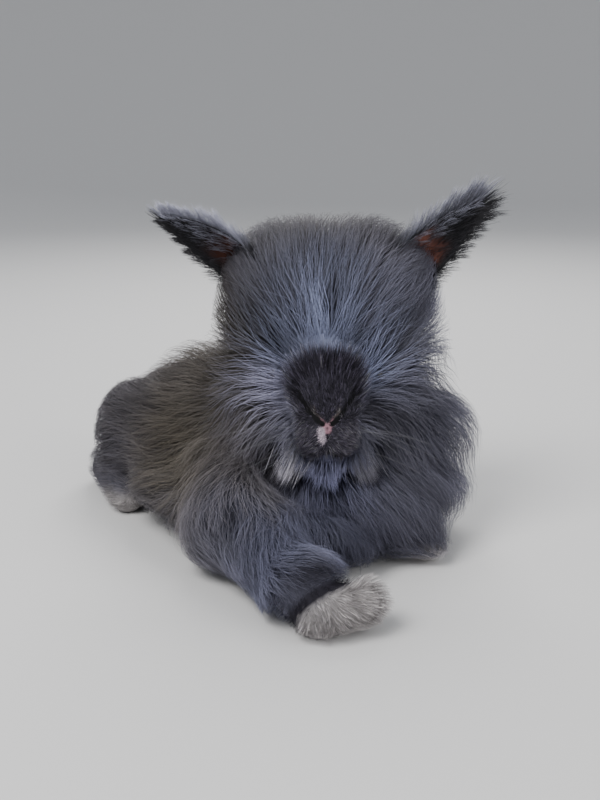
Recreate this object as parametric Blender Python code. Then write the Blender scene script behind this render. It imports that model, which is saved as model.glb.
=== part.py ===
"""A young English Angora rabbit lying down, at life size, with its head turned aside from its body.

Metres, +Z up. The rabbit faces -Y and its own left side is +X. It is built with the nose above the origin,
and at the end the middle of its box is moved there.

Each furred part has two forms, both smooth blends of ellipsoids and round rods. Its core is the flesh with
the short wool on it, and its outline is how far the long coat reaches. Flat, tapered locks are rooted in the
core, follow the lie of the coat and end just inside the outline. Every part gives way to the outlines of the
parts that cover it, and keeps GAP clear of them.
"""

import math
import random

import bmesh
import bpy
import numpy as np
from mathutils import Matrix, Vector
from mathutils.bvhtree import BVHTree

MM = 0.001
GAP = 0.35 * MM  # kept between two parts that meet
LEG_GAP = 1.2 * MM  # kept round the outline of a foreleg, which has flatter sides
BODY_TURN = 30.0  # degrees, from the line of the face to the line of the back
LEFT, RIGHT = 1, -1  # the rabbit's own sides

NOSE_HEIGHT = 64 * MM
HEAD_WIDTH = 119 * MM  # coat included, as are the next four
HEAD_TOP = 160 * MM
RUFF_WIDTH = 144 * MM
TORSO_WIDTH = 121 * MM
TORSO_TOP = 87 * MM
EAR_LENGTH = 68 * MM  # without the tuft at its tip
EAR_WIDTH = 25 * MM
EAR_WALL = 1.8 * MM
EYE_RADIUS = 5.8 * MM
EYE_SHOWS = 1.6 * MM  # how far the eyeball stands out of the flesh round it
EYE_HEIGHT = 80 * MM
LID = 1.3 * MM  # radius of the rim of the lids
NOSTRIL = 1.1 * MM  # width of the slit
FACE_CENTRE = np.array((0, 14 * MM, 72 * MM))  # the head's long coat parts from here
FACE_RADIUS = 17 * MM  # of the short-haired face, from the mouth up to the brow, which carries no locks

# The tuft at the left corner of the mouth, in millimetres
BEARD_PATH = ((12.5, 13, 54), (15.5, 8, 50.5), (17.5, 6.5, 46.5), (17.5, 8, 42.5))
BEARD_WIDTH = 9 * MM

LOCK_WIDTH = 18 * MM
LOCK_THICKNESS = 3.4 * MM
LOCK_SINK = 3.5 * MM  # how deep its root sits
TAPER = 0.45  # how much of its thickness a lock loses towards its tip
LOCK_WIDTHS = (0.72, 1.0, 0.9, 0.58)  # of LOCK_WIDTH, from root to tip
LOCK_BEND = math.cos(math.radians(38))  # a lock that turns more than this at one step is left out
SEEDS = {  # of each part's random numbers
    "head": 111,
    "neck": 32,
    "torso": 93,
    "tail": 94,
    "foreleg_right": 35,
    "foreleg_left": 16,
    "hindleg_right": 57,
    "hindleg_left": 58,
}
TIP_DEPTH = 1.0 * MM  # how far a lock's ridge stays inside the outline
FLAT = 1.5 * MM  # flesh lower than this is pressed flat on the floor
FLOOR_CLEAR = 0.6 * MM
BLEND = 2.5 * MM  # how softly the shapes of a core run together
COAT_BLEND = 5 * MM

COAT = ((0.075, 0.077, 0.092), 0.85)
EAR_SKIN = ((0.09, 0.065, 0.06), 0.7)
LEG_COAT = ((0.09, 0.09, 0.10), 0.85)
EYE_BROWN = ((0.012, 0.008, 0.006), 0.1)


def place(along, side, height):
    """A point of the turned body: along its back from under the nose, out to its right side, and up."""
    turn = math.radians(BODY_TURN)
    return (
        -math.sin(turn) * along - math.cos(turn) * side,
        math.cos(turn) * along - math.sin(turn) * side,
        height,
    )


def blob(centre, radii, pitch=0.0, turn=0.0):
    """An ellipsoid, with its front tipped down by pitch and the whole turned about Z, in degrees."""
    basis = Matrix.Rotation(math.radians(turn), 3, "Z") @ Matrix.Rotation(math.radians(pitch), 3, "X")
    return "blob", np.array(centre), np.array(radii), np.array(basis)


def body_blob(centre, radii):
    """An ellipsoid in line with the turned body: radii are across, along and up."""
    return blob(place(*centre), radii, turn=BODY_TURN)


def rod(start, end, start_radius, end_radius):
    return "rod", np.array(start), np.array(end), (start_radius, end_radius)


def distance(points, shape):
    """Roughly how far points lie outside a shape, and below zero inside it."""
    if shape[0] == "rod":
        _, start, end, (start_radius, end_radius) = shape
        line = end - start
        share = np.clip((points - start) @ line / (line @ line), 0, 1)[:, None]
        radius = start_radius + (end_radius - start_radius) * share[:, 0]
        return np.linalg.norm(points - start - share * line, axis=1) - radius
    _, centre, radii, basis = shape
    local = (points - centre) @ basis
    near = np.linalg.norm(local / radii, axis=1)
    steep = np.linalg.norm(local / radii**2, axis=1)
    return near * (near - 1) / np.maximum(steep, 1e-9)


def blended(shapes, softness):
    """The field of several shapes that run smoothly into each other."""

    def field(points):
        each = np.array([distance(points, shape) for shape in shapes])
        least = each.min(axis=0)
        return least - softness * np.log(np.exp((least - each) / softness).sum(axis=0))

    return field


def both_sides(shape_of):
    """A shape on each side of the head."""
    return [shape_of(side) for side in (LEFT, RIGHT)]


HEAD_CORE = [
    blob((0, 47 * MM, 95 * MM), (29 * MM, 33 * MM, 31 * MM)),
    blob((0, 56 * MM, 106 * MM), (31 * MM, 27 * MM, 26 * MM)),
    *both_sides(lambda side: blob((side * 15 * MM, 38 * MM, 75 * MM), (15 * MM, 23 * MM, 20 * MM))),
    *both_sides(lambda side: blob((side * 25 * MM, 50 * MM, 82 * MM), (15 * MM, 22 * MM, 22 * MM))),
    blob((0, 22 * MM, 79 * MM), (11.5 * MM, 24 * MM, 12 * MM), pitch=42),
    blob((0, 13.5 * MM, NOSE_HEIGHT + 1 * MM), (11.5 * MM, 14 * MM, 9.5 * MM)),
    *both_sides(lambda side: blob((side * 7 * MM, 8 * MM, 59.5 * MM), (8 * MM, 8 * MM, 7 * MM))),
    blob((0, 12 * MM, 52.5 * MM), (7.5 * MM, 9.5 * MM, 4.5 * MM)),
    blob((0, 40 * MM, 62 * MM), (15 * MM, 24 * MM, 12 * MM)),
]
HEAD_COAT = [
    blob((0, 60 * MM, 100 * MM), (HEAD_WIDTH / 2, 44 * MM, 47 * MM)),
    blob((-2 * MM, 62 * MM, HEAD_TOP - 34 * MM), (52 * MM, 38 * MM, 33 * MM)),
    *both_sides(lambda side: blob((side * 29 * MM, 44 * MM, 79 * MM), (27 * MM, 31 * MM, 28 * MM))),
    blob((0, 23 * MM, 80 * MM), (14 * MM, 26 * MM, 14 * MM), pitch=42),
    blob((0, 13 * MM, NOSE_HEIGHT + 0.5 * MM), (14 * MM, 15.5 * MM, 12 * MM)),
    *both_sides(lambda side: blob((side * 8 * MM, 9 * MM, 59 * MM), (10 * MM, 10.5 * MM, 9 * MM))),
    *both_sides(lambda side: blob((side * 13 * MM, 16 * MM, 51 * MM), (10 * MM, 13 * MM, 12 * MM))),
    blob((0, 40 * MM, 62 * MM), (17 * MM, 27 * MM, 15 * MM)),
]
NECK_CORE = [
    blob((2 * MM, 54 * MM, 50 * MM), (46 * MM, 32 * MM, 38 * MM)),
    blob((2 * MM, 44 * MM, 24 * MM), (42 * MM, 34 * MM, 27 * MM)),
]
NECK_COAT = [
    blob((2 * MM, 52 * MM, 50 * MM), (RUFF_WIDTH / 2, 42 * MM, 46 * MM)),
    blob((4 * MM, 44 * MM, 26 * MM), (66 * MM, 48 * MM, 34 * MM)),
]
TORSO_CORE = [
    body_blob((110 * MM, 0, 33 * MM), (44 * MM, 70 * MM, 36 * MM)),
]
TORSO_COAT = [
    body_blob((106 * MM, 0, TORSO_TOP - 47 * MM), (TORSO_WIDTH / 2, 90 * MM, 47 * MM)),
]
TAIL_CORE = [body_blob((189 * MM, 0, 43 * MM), (10 * MM, 16 * MM, 13 * MM))]
TAIL_COAT = [body_blob((194 * MM, 0, 45 * MM), (17 * MM, 22 * MM, 20 * MM))]

FORELEG_PATHS = {
    RIGHT: [
        place(46 * MM, 30 * MM, 38 * MM),
        place(18 * MM, 41 * MM, 23 * MM),
        (-11 * MM, -57 * MM, 13 * MM),
    ],
    LEFT: [
        place(50 * MM, -34 * MM, 34 * MM),
        place(24 * MM, -40 * MM, 17 * MM),
        place(-4 * MM, -42 * MM, 10 * MM),
    ],
}
FORELEG_CORE = {RIGHT: (13 * MM, 13 * MM, 10.5 * MM), LEFT: (12 * MM, 11 * MM, 7.5 * MM)}
FORELEG_COAT = {RIGHT: (22 * MM, 23 * MM, 17 * MM), LEFT: (18 * MM, 15 * MM, 11 * MM)}
PAW_PATHS = {
    RIGHT: [(-4 * MM, -69 * MM, 8.3 * MM), (12 * MM, -67 * MM, 12 * MM)],
    LEFT: [place(-7 * MM, -42 * MM, 7.5 * MM), place(-20 * MM, -42 * MM, 6.5 * MM)],
}
PAW_RADII = {RIGHT: (10 * MM, 9.5 * MM), LEFT: (8.5 * MM, 7.5 * MM)}
PAW_COAT = 2.5 * MM
FOOT_RADII = (9.5 * MM, 8.5 * MM)
FOOT_COAT = 3 * MM


def foreleg(side, coat):
    """Upper leg, forearm and paw, with or without their long coat."""
    path, radii = FORELEG_PATHS[side], (FORELEG_COAT if coat else FORELEG_CORE)[side]
    more = PAW_COAT if coat else 0
    rods = [rod(path[i], path[i + 1], radii[i], radii[i + 1]) for i in range(len(path) - 1)]
    paw = rod(*PAW_PATHS[side], PAW_RADII[side][0] + more, PAW_RADII[side][1] + more)
    return rods, [paw]


def foot_path(side):
    """Heel and toes of the long hind foot. place() counts the rabbit's right as positive."""
    out = -side
    return place(160 * MM, out * 46 * MM, 8.5 * MM), place(112 * MM, out * 54 * MM, 7.5 * MM)


def hindleg(side, coat):
    """Thigh and foot, with or without their long coat."""
    out = -side
    more = FOOT_COAT if coat else 0
    radii = (27 * MM, 42 * MM, 38 * MM) if coat else (20 * MM, 33 * MM, 29 * MM)
    thigh = body_blob((136 * MM, out * 35 * MM, 31 * MM), radii)
    return [thigh, rod(*foot_path(side), FOOT_RADII[0] + more, FOOT_RADII[1] + more)]


def above_floor(field):
    return lambda points: np.maximum(field(points), -points[:, 2])


def first_crossing(field, starts, ways, reach, steps=90):
    """How far along each ray its first way out of the field lies."""
    lengths = np.linspace(reach / steps, reach, steps)
    values = np.array([field(starts + ways * length) for length in lengths])
    outside = values > 0
    outside[-1] = True
    last = outside.argmax(axis=0)
    low = np.where(last > 0, lengths[np.maximum(last - 1, 0)], 0.0)
    high = lengths[last]
    for _ in range(22):
        middle = (low + high) / 2
        inside = field(starts + ways * middle[:, None]) <= 0
        low = np.where(inside, middle, low)
        high = np.where(inside, high, middle)
    return low


def mesh_object(name, points, faces, look):
    mesh = bpy.data.meshes.new(name)
    mesh.from_pydata([tuple(point) for point in points], [], faces)
    made = bpy.data.objects.new(name, mesh)
    bpy.context.scene.collection.objects.link(made)
    (red, green, blue), roughness = look
    material = bpy.data.materials.new(name)
    material.use_nodes = True
    shader = material.node_tree.nodes["Principled BSDF"]
    shader.inputs["Base Color"].default_value = (red, green, blue, 1)
    shader.inputs["Roughness"].default_value = roughness
    mesh.materials.append(material)
    return made


def face_outwards(made):
    """Splits the faces into triangles and turns them to face out."""
    shape = bmesh.new()
    shape.from_mesh(made.data)
    bmesh.ops.remove_doubles(shape, verts=shape.verts, dist=0.02 * MM)
    bmesh.ops.triangulate(shape, faces=shape.faces)
    bmesh.ops.recalc_face_normals(shape, faces=shape.faces)
    shape.to_mesh(made.data)
    shape.free()
    made.data.shade_smooth()
    return made


def round_form(name, field, centre, radii, rings, segments, look=COAT, turn=0.0, pitch=0.0, crowd=1.0):
    """The surface of a field round a centre, with poles fore and aft. radii spread its points evenly.

    A crowd over 1 sets the rings closer together in front.
    """
    basis = Matrix.Rotation(math.radians(turn), 3, "Z") @ Matrix.Rotation(math.radians(pitch), 3, "X")
    ways = []
    for ring in range(rings + 1):
        tilt = math.pi * (ring / rings) ** crowd
        count = 1 if ring in (0, rings) else segments
        for step in range(count):
            spin = 2 * math.pi * (step + 0.5 * (ring % 2)) / count
            across = math.sin(tilt)
            way = (across * math.sin(spin), -math.cos(tilt), across * math.cos(spin))
            way = Vector([part * radius for part, radius in zip(way, radii)])
            ways.append(basis @ way.normalized())
    ways = np.array(ways)
    starts = np.tile(np.array(centre), (len(ways), 1))
    reach = 2.5 * max(radii)
    points = starts + ways * first_crossing(above_floor(field), starts, ways, reach)[:, None]
    points[points[:, 2] < FLAT, 2] = 0
    faces = []
    for ring in range(rings):
        first = 1 + (ring - 1) * segments
        for step in range(segments):
            after = (step + 1) % segments
            if ring == 0:
                faces.append((0, 1 + after, 1 + step))
            elif ring == rings - 1:
                faces.append((first + step, first + after, len(points) - 1))
            elif ring % 2:
                faces.append((first + step, first + after, first + segments + step))
                faces.append((first + after, first + segments + after, first + segments + step))
            else:
                faces.append((first + step, first + after, first + segments + after))
                faces.append((first + step, first + segments + after, first + segments + step))
    return face_outwards(mesh_object(name, points, faces, look))


def swept_form(name, field, path, segments, look=COAT):
    """The surface of a field round a bent path of points, ring by ring."""
    path = [Vector(point) for point in path]
    points = []
    for index, point in enumerate(path):
        before = path[max(index - 1, 0)]
        after = path[min(index + 1, len(path) - 1)]
        along = (after - before).normalized()
        up = (Vector((0, 0, 1)) - along * along.z).normalized()
        across = along.cross(up)
        spins = [2 * math.pi * (step + 0.5) / segments for step in range(segments)]
        ways = np.array([across * math.cos(spin) + up * math.sin(spin) for spin in spins])
        points.append(rays_out(field, point, ways))
        if index == 0:
            first_end = rays_out(field, point, np.array([-along]))
        last_end = rays_out(field, point, np.array([along]))
    rings = len(path)
    points = np.concatenate([first_end, *points, last_end])
    faces = []
    for step in range(segments):
        after = (step + 1) % segments
        faces.append((0, 1 + step, 1 + after))
        last = 1 + (rings - 1) * segments
        faces.append((last + after, last + step, len(points) - 1))
        for ring in range(rings - 1):
            low = 1 + ring * segments
            faces.append((low + step, low + segments + step, low + segments + after, low + after))
    return face_outwards(mesh_object(name, points, faces, look))


def rays_out(field, start, ways, reach=60 * MM):
    starts = np.tile(np.array(start), (len(ways), 1))
    ended = starts + ways * first_crossing(above_floor(field), starts, ways, reach)[:, None]
    ended[:, 2] = np.maximum(ended[:, 2], 0)
    return ended


def limb_path(corners, radii, count):
    """Points evenly along a curve through the corners, and on into the round ends of the limb."""
    corners = [Vector(corner) for corner in corners]
    corners[0] += (corners[0] - corners[1]).normalized() * radii[0] * 0.7
    corners[-1] += (corners[-1] - corners[-2]).normalized() * radii[-1] * 0.7
    padded = [corners[0] * 2 - corners[1], *corners, corners[-1] * 2 - corners[-2]]
    found = []
    for index in range(count):
        share = index / (count - 1) * (len(corners) - 1)
        part = min(int(share), len(corners) - 2)
        a, b, c, d = padded[part : part + 4]
        t = share - part
        bend, twist = 2 * a - 5 * b + 4 * c - d, 3 * b - a - 3 * c + d
        curve = (2 * b + (c - a) * t + bend * t**2 + twist * t**3) / 2
        found.append(curve)
    return found


def apply_boolean(made, operation, operand, solver="EXACT"):
    modifier = made.modifiers.new(operation.lower(), "BOOLEAN")
    modifier.operation = operation
    modifier.solver = solver
    if isinstance(operand, bpy.types.Collection):
        modifier.operand_type = "COLLECTION"
        modifier.collection = operand
    else:
        modifier.object = operand
    bpy.context.view_layer.update()
    result = bpy.data.meshes.new_from_object(made.evaluated_get(bpy.context.evaluated_depsgraph_get()))
    made.modifiers.clear()
    made.data = result
    return made


def swollen(made, by):
    """A copy of a part that stands out from it by a distance, to cut a clear place for it."""
    copy = bpy.data.objects.new("cutter", made.data.copy())
    bpy.context.scene.collection.objects.link(copy)
    shape = bmesh.new()
    shape.from_mesh(copy.data)
    shape.normal_update()
    moves = [vert.normal * by * min(vert.calc_shell_factor(), 2.5) for vert in shape.verts]
    for vert, move in zip(shape.verts, moves):
        vert.co += move
    shape.to_mesh(copy.data)
    shape.free()
    return copy


def remove(*objects):
    for made in objects:
        bpy.data.objects.remove(made)


def cut(made, cutters):
    for cutter in cutters:
        apply_boolean(made, "DIFFERENCE", cutter)
    return keep_largest(made)


def keep_largest(made):
    """Drops all but the surface with the largest box. An edge that more than two faces share parts them."""
    shape = bmesh.new()
    shape.from_mesh(made.data)
    left, surfaces = set(shape.faces), []
    while left:
        found = {left.pop()}
        rim = list(found)
        while rim:
            edges = {edge for face in rim for edge in face.edges if len(edge.link_faces) == 2}
            near = {face for edge in edges for face in edge.link_faces} - found
            found |= near
            rim = list(near)
        left -= found
        surfaces.append(found)
    surfaces.sort(key=surface_size)
    bmesh.ops.delete(shape, geom=[face for surface in surfaces[:-1] for face in surface], context="FACES")
    shape.to_mesh(made.data)
    shape.free()
    return made


def surface_size(faces):
    points = np.array([vert.co for face in faces for vert in face.verts])
    return float(np.prod(points.max(axis=0) - points.min(axis=0)))


def outward(field, points, step=0.2 * MM):
    """The way straight out of a field at each point."""
    points = np.asarray(points, dtype=float)
    slope = np.empty_like(points)
    for axis in range(3):
        shift = np.zeros(3)
        shift[axis] = step
        slope[:, axis] = field(points + shift) - field(points - shift)
    return slope / np.maximum(np.linalg.norm(slope, axis=1), 1e-12)[:, None]


def spread_roots(field, centre, radii, count, turn=0.0):
    """Points spread evenly over a form, on a golden spiral round its centre."""
    basis = Matrix.Rotation(math.radians(turn), 3, "Z")
    golden = math.pi * (3 - math.sqrt(5))
    ways = []
    for index in range(count):
        height = 1 - (2 * index + 1) / count
        across = math.sqrt(1 - height * height)
        way = (across * math.cos(golden * index), across * math.sin(golden * index), height)
        ways.append(basis @ Vector([part * radius for part, radius in zip(way, radii)]).normalized())
    ways = np.array(ways)
    starts = np.tile(np.array(centre), (count, 1))
    return starts + ways * first_crossing(field, starts, ways, 2.5 * max(radii))[:, None]


def head_lie(point):
    """The coat parts from the face, and turns back over the crown and down on the cheeks."""
    away = (point - Vector(FACE_CENTRE)).normalized()
    down = min(1.0, max(0.0, (88 * MM - point.z) / (40 * MM)))
    back = min(1.0, max(0.0, (point.z - 105 * MM) / (35 * MM)))
    return away + Vector((0, 0.25 + 0.9 * back, -0.45 * down))


def neck_lie(point):
    return (point - Vector((2 * MM, 60 * MM, 98 * MM))).normalized() + Vector((0, 0, -0.55))


def torso_lie(point):
    return Vector(place(1, 0, -0.4))


def tail_lie(point):
    return Vector(place(1, 0, 0.25))


def path_lie(corners):
    """The coat of a limb lies along it, and droops a little."""
    corners = [Vector(corner) for corner in corners]

    def lie(point):
        spans = list(zip(corners, corners[1:]))
        nearest = min(spans, key=lambda span: (point - (span[0] + span[1]) / 2).length)
        return (nearest[1] - nearest[0]).normalized() + Vector((0, 0, -0.15))

    return lie


def lock_path(root, core, outline, lie, length, steps, sway, thickness, floor):
    """A lock's middle line: it leaves the core, runs along the lie and rises to just under the outline."""
    point = Vector(root)
    out = Vector(outward(core, [root])[0])
    start_depth = -float(outline(np.array([root]))[0])
    path, ups = [point - out * LOCK_SINK], [out]
    for step in range(1, steps + 1):
        share = step / steps
        out = Vector(outward(outline, [tuple(point)])[0])
        flow = lie(point)
        flow = flow - out * flow.dot(out)
        if flow.length < 0.15:
            return None
        flow = Matrix.Rotation(sway * (1.5 - share), 3, out) @ flow.normalized()
        if point.z < 24 * MM and flow.z < 0:
            flow.z *= max(0.0, (point.z - 5 * MM) / (19 * MM))
            flow = flow.normalized()
        point = point + flow * (length / steps)
        out = Vector(outward(outline, [tuple(point)])[0])
        depth = -float(outline(np.array([tuple(point)]))[0])
        least = TIP_DEPTH + thickness / 2 * (1 - TAPER * share)
        wanted = least + max(start_depth - least, 0) * (1 - share) ** 1.25
        point = point + out * (depth - wanted)
        point.z = max(point.z, floor + LOCK_THICKNESS / 2)
        path.append(point.copy())
        ups.append(out)
    ways = [(after - before).normalized() for before, after in zip(path[1:], path[2:])]
    if min(way.dot(after) for way, after in zip(ways, ways[1:])) < LOCK_BEND:
        return None
    return path, ups


def make_lock(path, ups, width, thickness, floor=0.0):
    """A closed lock round its middle line, flat under and ridged on top. None if it would cross itself."""
    points, faces = [], []
    rings = len(path) - 1
    for ring in range(rings):
        along = (path[ring + 1] - path[max(ring - 1, 0)]).normalized()
        side = along.cross(ups[ring]).normalized()
        up = side.cross(along)
        share = ring / (rings - 1) * (len(LOCK_WIDTHS) - 1)
        low = min(int(share), len(LOCK_WIDTHS) - 2)
        wide = LOCK_WIDTHS[low] + (LOCK_WIDTHS[low + 1] - LOCK_WIDTHS[low]) * (share - low)
        half, thick = width * wide / 2, thickness / 2 * (1 - TAPER * ring / rings)
        for offset in (side * half - up * thick * 0.5, up * thick, -side * half - up * thick * 0.5):
            corner = path[ring] + offset
            corner.z = max(corner.z, floor)
            points.append(corner)
    points.append(path[-1])
    for ring in range(rings - 1):
        for corner in range(3):
            after = (corner + 1) % 3
            low = 3 * ring
            faces.append((low + corner, low + after, low + 3 + after, low + 3 + corner))
    last = 3 * (rings - 1)
    faces.append((2, 1, 0))
    for corner in range(3):
        faces.append((last + corner, last + (corner + 1) % 3, len(points) - 1))
    if crosses_itself(points, faces):
        return None
    return face_outwards(mesh_object("lock", points, faces, COAT))


def crosses_itself(points, faces):
    tree = BVHTree.FromPolygons(points, faces)
    return any(not set(faces[first]) & set(faces[second]) for first, second in tree.overlap(tree))


def join_all(made, pieces, solver="EXACT"):
    """Unites a part with the pieces rooted in it."""
    group = bpy.data.collections.new("pieces")
    bpy.context.scene.collection.children.link(group)
    for piece in pieces:
        bpy.context.scene.collection.objects.unlink(piece)
        group.objects.link(piece)
    apply_boolean(made, "UNION", group, solver)
    remove(*pieces)
    bpy.data.collections.remove(group)
    return keep_largest(made)


def grow_coat(made, roots, core, outline, lie, length, width, seed, keep=lambda path: True, steps=4):
    """Roots locks all over a part, and unites them with it."""
    chance = random.Random(seed)
    locks = []
    for root in roots:
        grown = length(root) * chance.uniform(0.85, 1.12)
        sway = math.radians(chance.uniform(-16, 16))
        wide = width * chance.uniform(0.88, 1.12) * (0.55 + 0.45 * min(1.0, length(root) / (40 * MM)))
        floor = FLOOR_CLEAR + chance.uniform(0, 0.6 * MM)
        thick = LOCK_THICKNESS * wide / LOCK_WIDTH
        found = lock_path(tuple(root), core, outline, lie, grown, steps, sway, thick, floor)
        lock = make_lock(*found, wide, thick, floor) if found and keep(found[0]) else None
        if lock:
            locks.append(lock)
    return join_all(made, locks)


def make_paw(name, shapes, side):
    start, end = (np.array(point) for point in PAW_PATHS[side])
    radius = max(shapes[0][3])
    size = (radius, radius + np.linalg.norm(end - start) / 2, radius)
    turn = math.degrees(math.atan2(end[0] - start[0], start[1] - end[1]))
    return round_form(name, blended(shapes, MM), tuple((start + end) / 2), size, 8, 12, LEG_COAT, turn=turn)


def eye_ways():
    return {side: np.array((side * 0.915, -0.385, 0.12)) for side in (LEFT, RIGHT)}


def eye_centre(side):
    """The eyeball sits in the flesh, with EYE_SHOWS of it outside."""
    core = blended(HEAD_CORE, BLEND)
    start = np.array([(0, 36 * MM, EYE_HEIGHT)])
    way = eye_ways()[side]
    surface = start + way * first_crossing(core, start, way[None, :], 60 * MM)[:, None]
    return surface[0] - way * (EYE_RADIUS - EYE_SHOWS)


def make_eye(name, side):
    radii = (EYE_RADIUS, EYE_RADIUS, EYE_RADIUS)
    centre = eye_centre(side)
    return round_form(name, blended([blob(centre, radii)], MM), centre, radii, 8, 12, EYE_BROWN)


def make_lids(side):
    """A round rim on the eyeball, where it comes out of the flesh."""
    way = Vector(eye_ways()[side])
    across = way.cross(Vector((0, 0, 1))).normalized()
    up = across.cross(way)
    depth = EYE_RADIUS - EYE_SHOWS - 0.6 * MM
    middle = Vector(eye_centre(side)) + way * depth
    ring = math.sqrt(EYE_RADIUS**2 - depth**2) + 0.5 * MM
    points, faces = [], []
    around, sides = 12, 4
    for step in range(around):
        turn = 2 * math.pi * step / around
        out = across * math.cos(turn) * 1.12 + up * math.sin(turn) * 0.9
        for corner in range(sides):
            spin = 2 * math.pi * corner / sides
            points.append(middle + out * (ring + LID * math.cos(spin)) + way * LID * math.sin(spin))
    for step in range(around):
        for corner in range(sides):
            a, b = step * sides + corner, step * sides + (corner + 1) % sides
            c, d = (b + sides) % len(points), (a + sides) % len(points)
            faces.append((a, b, c, d))
    return face_outwards(mesh_object("lids", points, faces, COAT))


def make_beard(side):
    """The small tuft that hangs from the corner of the mouth."""
    path = [Vector((side * x * MM, y * MM, z * MM)) for x, y, z in BEARD_PATH]
    out = Vector((side * 0.5, -0.85, 0.15)).normalized()
    return make_lock(path, [out] * len(path), BEARD_WIDTH, 0.24 * BEARD_WIDTH)


def make_slit(line, width, depth):
    """A wedge that cuts a tapered groove into the front of the face, along a line of x and z."""
    core = blended(HEAD_CORE, BLEND)
    starts = np.array([(x, 26 * MM, z) for x, z in line])
    ways = np.tile(np.array((0.0, -1.0, 0.0)), (len(line), 1))
    fronts = 26 * MM - first_crossing(core, starts, ways, 60 * MM)
    points, faces = [], []
    for index, (x, z) in enumerate(line):
        before, after = line[max(index - 1, 0)], line[min(index + 1, len(line) - 1)]
        along = Vector((after[0] - before[0], after[1] - before[1])).normalized()
        share = math.sin(math.pi * (index + 0.6) / (len(line) + 0.2))
        half = width / 2 * (0.4 + 0.6 * share)
        inner = fronts[index] + depth * (0.3 + 0.7 * share)
        outer = fronts[index] - 4 * MM
        for y, side in ((inner, 0.25), (outer, 1.6), (outer, -1.6), (inner, -0.25)):
            points.append((x - along.y * half * side, y, z + along.x * half * side))
    for index in range(len(line) - 1):
        for corner in range(4):
            low, after = 4 * index, (corner + 1) % 4
            faces.append((low + corner, low + after, low + 4 + after, low + 4 + corner))
    last = 4 * (len(line) - 1)
    faces += [(0, 3, 2, 1), (last, last + 1, last + 2, last + 3)]
    return face_outwards(mesh_object("slit", points, faces, COAT))


def face_slits():
    """Nostrils in a wide V, the cleft under the nose, and the line of the mouth."""
    nose = NOSE_HEIGHT
    slits = []
    for side in (LEFT, RIGHT):
        nostril = [(1.6, 2.2), (3.8, 3.4), (6.2, 5.4), (8.0, 7.6)]
        slits.append(make_slit([(side * x * MM, nose + z * MM) for x, z in nostril], NOSTRIL, 2.2 * MM))
        lips = [(0.0, -6.6), (3.5, -7.4), (7.0, -9.2), (10.0, -11.4)]
        slits.append(make_slit([(side * x * MM, nose + z * MM) for x, z in lips], 1.0 * MM, 2.4 * MM))
    slits.append(make_slit([(0, nose + z * MM) for z in (1.2, -1.5, -4.2, -7.0)], 0.9 * MM, 1.6 * MM))
    return slits


EAR_BASES = {LEFT: (20 * MM, 57 * MM, 119 * MM), RIGHT: (-17 * MM, 57 * MM, 124 * MM)}
EAR_TURNS = {LEFT: (1, -0.1, 0.84), RIGHT: (-1, -0.05, 0.66)}  # the way each ear points
EAR_OPENINGS = {LEFT: (0.25, -1.0, -0.3), RIGHT: (-0.1, -0.75, -0.6)}
EAR_CURL = {LEFT: 3 * MM, RIGHT: 11 * MM}  # how far the tip bends over the opening
EAR_TUFT = {LEFT: 20 * MM, RIGHT: 12 * MM}
EAR_SHARES = (0.0, 0.12, 0.26, 0.4, 0.54, 0.68, 0.8, 0.9, 0.97)
EAR_PROFILE = (0.5, 0.74, 0.94, 1.0, 0.96, 0.84, 0.66, 0.42, 0.2)  # of EAR_WIDTH
EAR_SPREAD = (160, 138, 104, 80, 66, 58, 52, 46, 40)  # degrees, how far the edge curls from the back


def ear_frame(side):
    axis = Vector(EAR_TURNS[side]).normalized()
    opening = Vector(EAR_OPENINGS[side])
    opening = (opening - axis * opening.dot(axis)).normalized()
    return Vector(EAR_BASES[side]), axis, opening, axis.cross(opening)


def ear_point(side, share, width, spread, angle, inside=0.0):
    base, axis, opening, across = ear_frame(side)
    radius = width / 2 / math.sin(min(math.radians(spread), math.pi / 2))
    back = base + axis * (EAR_LENGTH * share) + opening * (EAR_CURL[side] * share**3)
    out = radius - inside
    return back + opening * (radius - out * math.cos(angle)) + across * out * math.sin(angle)


def make_ear(name, side):
    """A cupped ear: nearly a tube at its base, open to a leaf above, with tufts of long hair at its tip."""
    segments = 6
    points, faces = [], []
    rows = list(zip(EAR_SHARES, EAR_PROFILE, EAR_SPREAD))
    for share, profile, spread in rows:
        wall = EAR_WALL * (1.25 - 0.5 * share)
        for inside in (0.0, wall):
            for step in range(segments + 1):
                angle = math.radians(spread) * (2 * step / segments - 1)
                points.append(ear_point(side, share, EAR_WIDTH * profile, spread, angle, inside))
    loop = 2 * (segments + 1)
    for ring in range(len(rows)):
        low = ring * loop
        for step in range(segments):
            outer, inner = low + step, low + segments + 1 + step
            if ring in (0, len(rows) - 1):
                faces.append((outer, outer + 1, inner + 1, inner))
            if ring < len(rows) - 1:
                faces.append((outer, outer + 1, outer + 1 + loop, outer + loop))
                faces.append((inner, inner + 1, inner + 1 + loop, inner + loop))
        if ring < len(rows) - 1:
            for outer in (low, low + segments):
                inner = outer + segments + 1
                faces.append((outer, inner, inner + loop, outer + loop))
    return face_outwards(mesh_object(name, points, faces, EAR_SKIN))


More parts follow.
